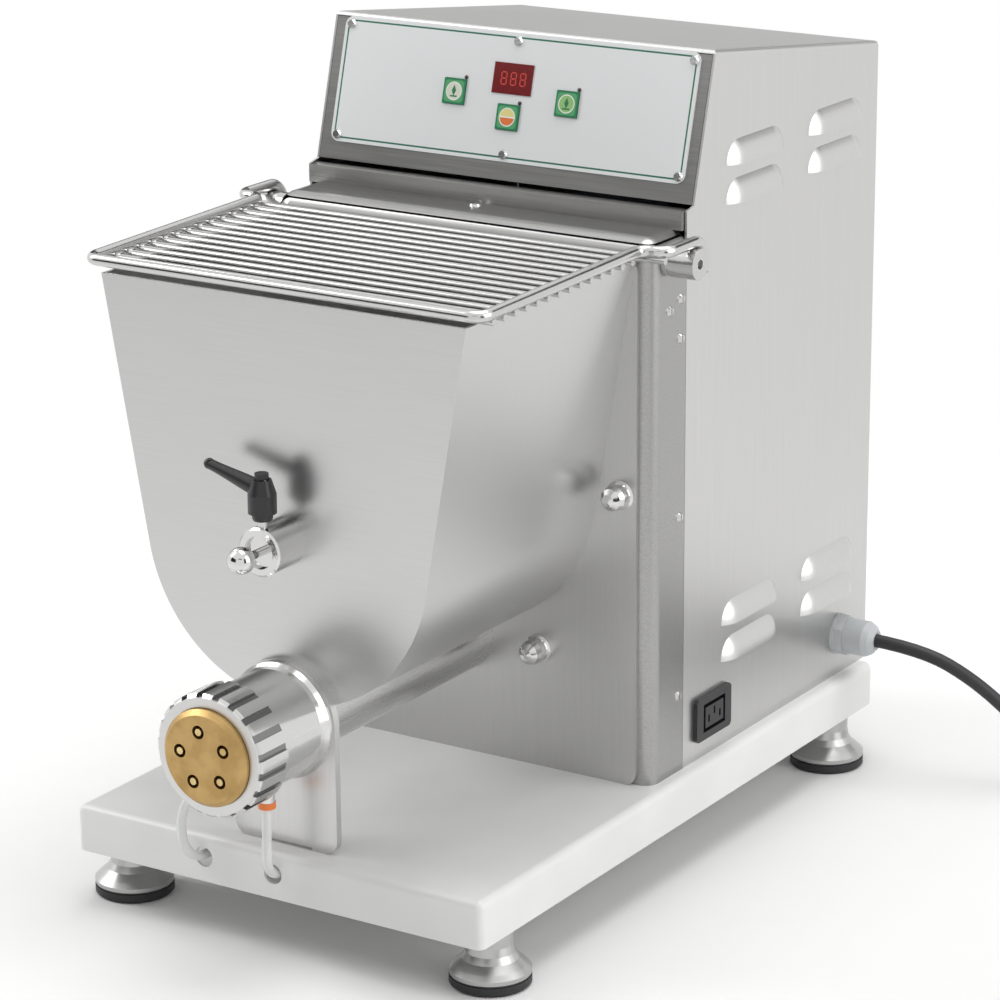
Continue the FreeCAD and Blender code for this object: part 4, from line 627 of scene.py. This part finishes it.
studio = {
    "floorTone": (0.92, 0.92, 0.915), "world": 0.44, "backdrop": 1.0, "whiteFrom": (0.45, 1.5), "floorHalf": 20,
    "camera": (1.26132, -1.93262, 0.93898), "azimuth": 32.67, "elevation": 17.09, "roll": -0.38, "lens": 136.5,
}


def floorPlane():
    material, tree = newMaterial("floorPaper")
    fine = tree.noise(tree.spot(), 30, 2)
    tone = tree.mixColour(fine, studio["floorTone"], [value * 0.985 for value in studio["floorTone"]])
    setShader(tree, **{"Base Color": tone, "Roughness": 0.9})
    # the paper runs out to plain white where no shadow of the machine reaches
    x, y, z = tree.parts(tree.spot())
    away = (x * x + y * y).math("SQRT").fade(*studio["whiteFrom"])
    glow = tree.add("ShaderNodeEmission", None, {"Strength": studio["backdrop"]})
    share = away * tree.seen()
    mixed = tree.add("ShaderNodeMixShader", None, [share, Wire(tree, tree.shader.outputs[0]), glow])
    tree.feed(tree.nodes["Material Output"].inputs["Surface"], mixed)
    half = studio["floorHalf"]
    corners = [(-half, -half, 0), (half, -half, 0), (half, half, 0), (-half, half, 0)]
    floor = newPiece("floor", corners, [(0, 1, 2, 3)], material, body=None)


lamps = {
    "leftBox": {"place": (-2.3, -0.9, 2.1), "aim": (0, 0, 0.25), "size": (1.0, 1.9), "power": 38},
    "rightBox": {"place": (3.0, 0.4, 1.4), "aim": (0, 0, 0.25), "size": (2.4, 2.8), "power": 44},
    "topBox": {"place": (0.2, 0.4, 2.8), "aim": (0, 0, 0.2), "size": (1.8, 1.8), "power": 40},
}


def lamp(name, facts):
    light = bpy.data.lights.new(name, "AREA")
    light.shape = "RECTANGLE"
    light.size, light.size_y = facts["size"]
    light.energy = facts["power"]
    holder = bpy.data.objects.new(name, light)
    place = Vector(facts["place"])
    holder.location = place
    holder.rotation_euler = (Vector(facts["aim"]) - place).to_track_quat("-Z", "Y").to_euler()
    bpy.context.scene.collection.objects.link(holder)


def studioWorld():
    world = bpy.data.worlds.new("studio")
    bpy.context.scene.world = world
    tree = Tree(world)
    background = tree.nodes["Background"]
    level = studio["world"] + tree.seen() * (studio["backdrop"] - studio["world"])
    tree.feed(background.inputs["Color"], tree.add("ShaderNodeCombineXYZ", None, [level, level, level]))


def setCamera():
    data = bpy.data.cameras.new("photoCamera")
    data.lens = studio["lens"]
    data.sensor_width = 36
    data.sensor_fit = "HORIZONTAL"
    data.clip_end = 50
    camera = bpy.data.objects.new("photoCamera", data)
    azimuth, elevation = math.radians(studio["azimuth"]), math.radians(studio["elevation"])
    level = math.cos(elevation)
    ahead = Vector((-math.sin(azimuth) * level, math.cos(azimuth) * level, -math.sin(elevation)))
    turn = ahead.to_track_quat("-Z", "Y").to_matrix().to_4x4()
    roll = Matrix.Rotation(math.radians(studio["roll"]), 4, "Z")
    camera.matrix_world = Matrix.Translation(studio["camera"]) @ turn @ roll
    bpy.context.scene.collection.objects.link(camera)
    bpy.context.scene.camera = camera


# Dark cards, seen only in the metal, give it the near-black bands of a studio picture
darkCards = {
    "frontLeftCard": {"centre": (-1.14, -1.85, 0.66), "aim": (0, 0, 0.3), "half": (0.95, 0.46)},
    "backLeftCard": {"centre": (-1.3, 2.0, 1.10), "aim": (0, 0, 0.3), "half": (1.1, 0.42)},
    "rightCard": {"centre": (1.9, -1.0, 0.6), "aim": (0, 0, 0.3), "half": (0.3, 0.7)},
    "backHighCard": {"centre": (0.75, 2.1, 1.6), "aim": (0, 0, 0.3), "half": (0.7, 0.34)},
    "frontCard": {"centre": (0.9, -2.2, 1.5), "aim": (0, 0, 0.3), "half": (0.6, 0.16)},
}


def darkCard(name, facts):
    material, tree = newMaterial("cardBlack")
    setShader(tree, **{"Base Color": (0.008, 0.008, 0.008, 1), "Roughness": 0.9})
    centre = Vector(facts["centre"])
    towards = (Vector(facts["aim"]) - centre).normalized()
    across = towards.cross(Vector((0, 0, 1))).normalized() * facts["half"][0]
    up = across.cross(towards).normalized() * facts["half"][1]
    corners = [centre - across - up, centre + across - up, centre + across + up, centre - across + up]
    card = newPiece(name, corners, [(0, 1, 2, 3)], material, body=None)
    card.visible_camera = False
    card.visible_shadow = False
    card.visible_diffuse = False


floorPlane()
for name, facts in darkCards.items():
    darkCard(name, facts)
for name, facts in lamps.items():
    lamp(name, facts)
studioWorld()
setCamera()
bpy.context.scene.view_settings.view_transform = "Standard"
print("stage ready")
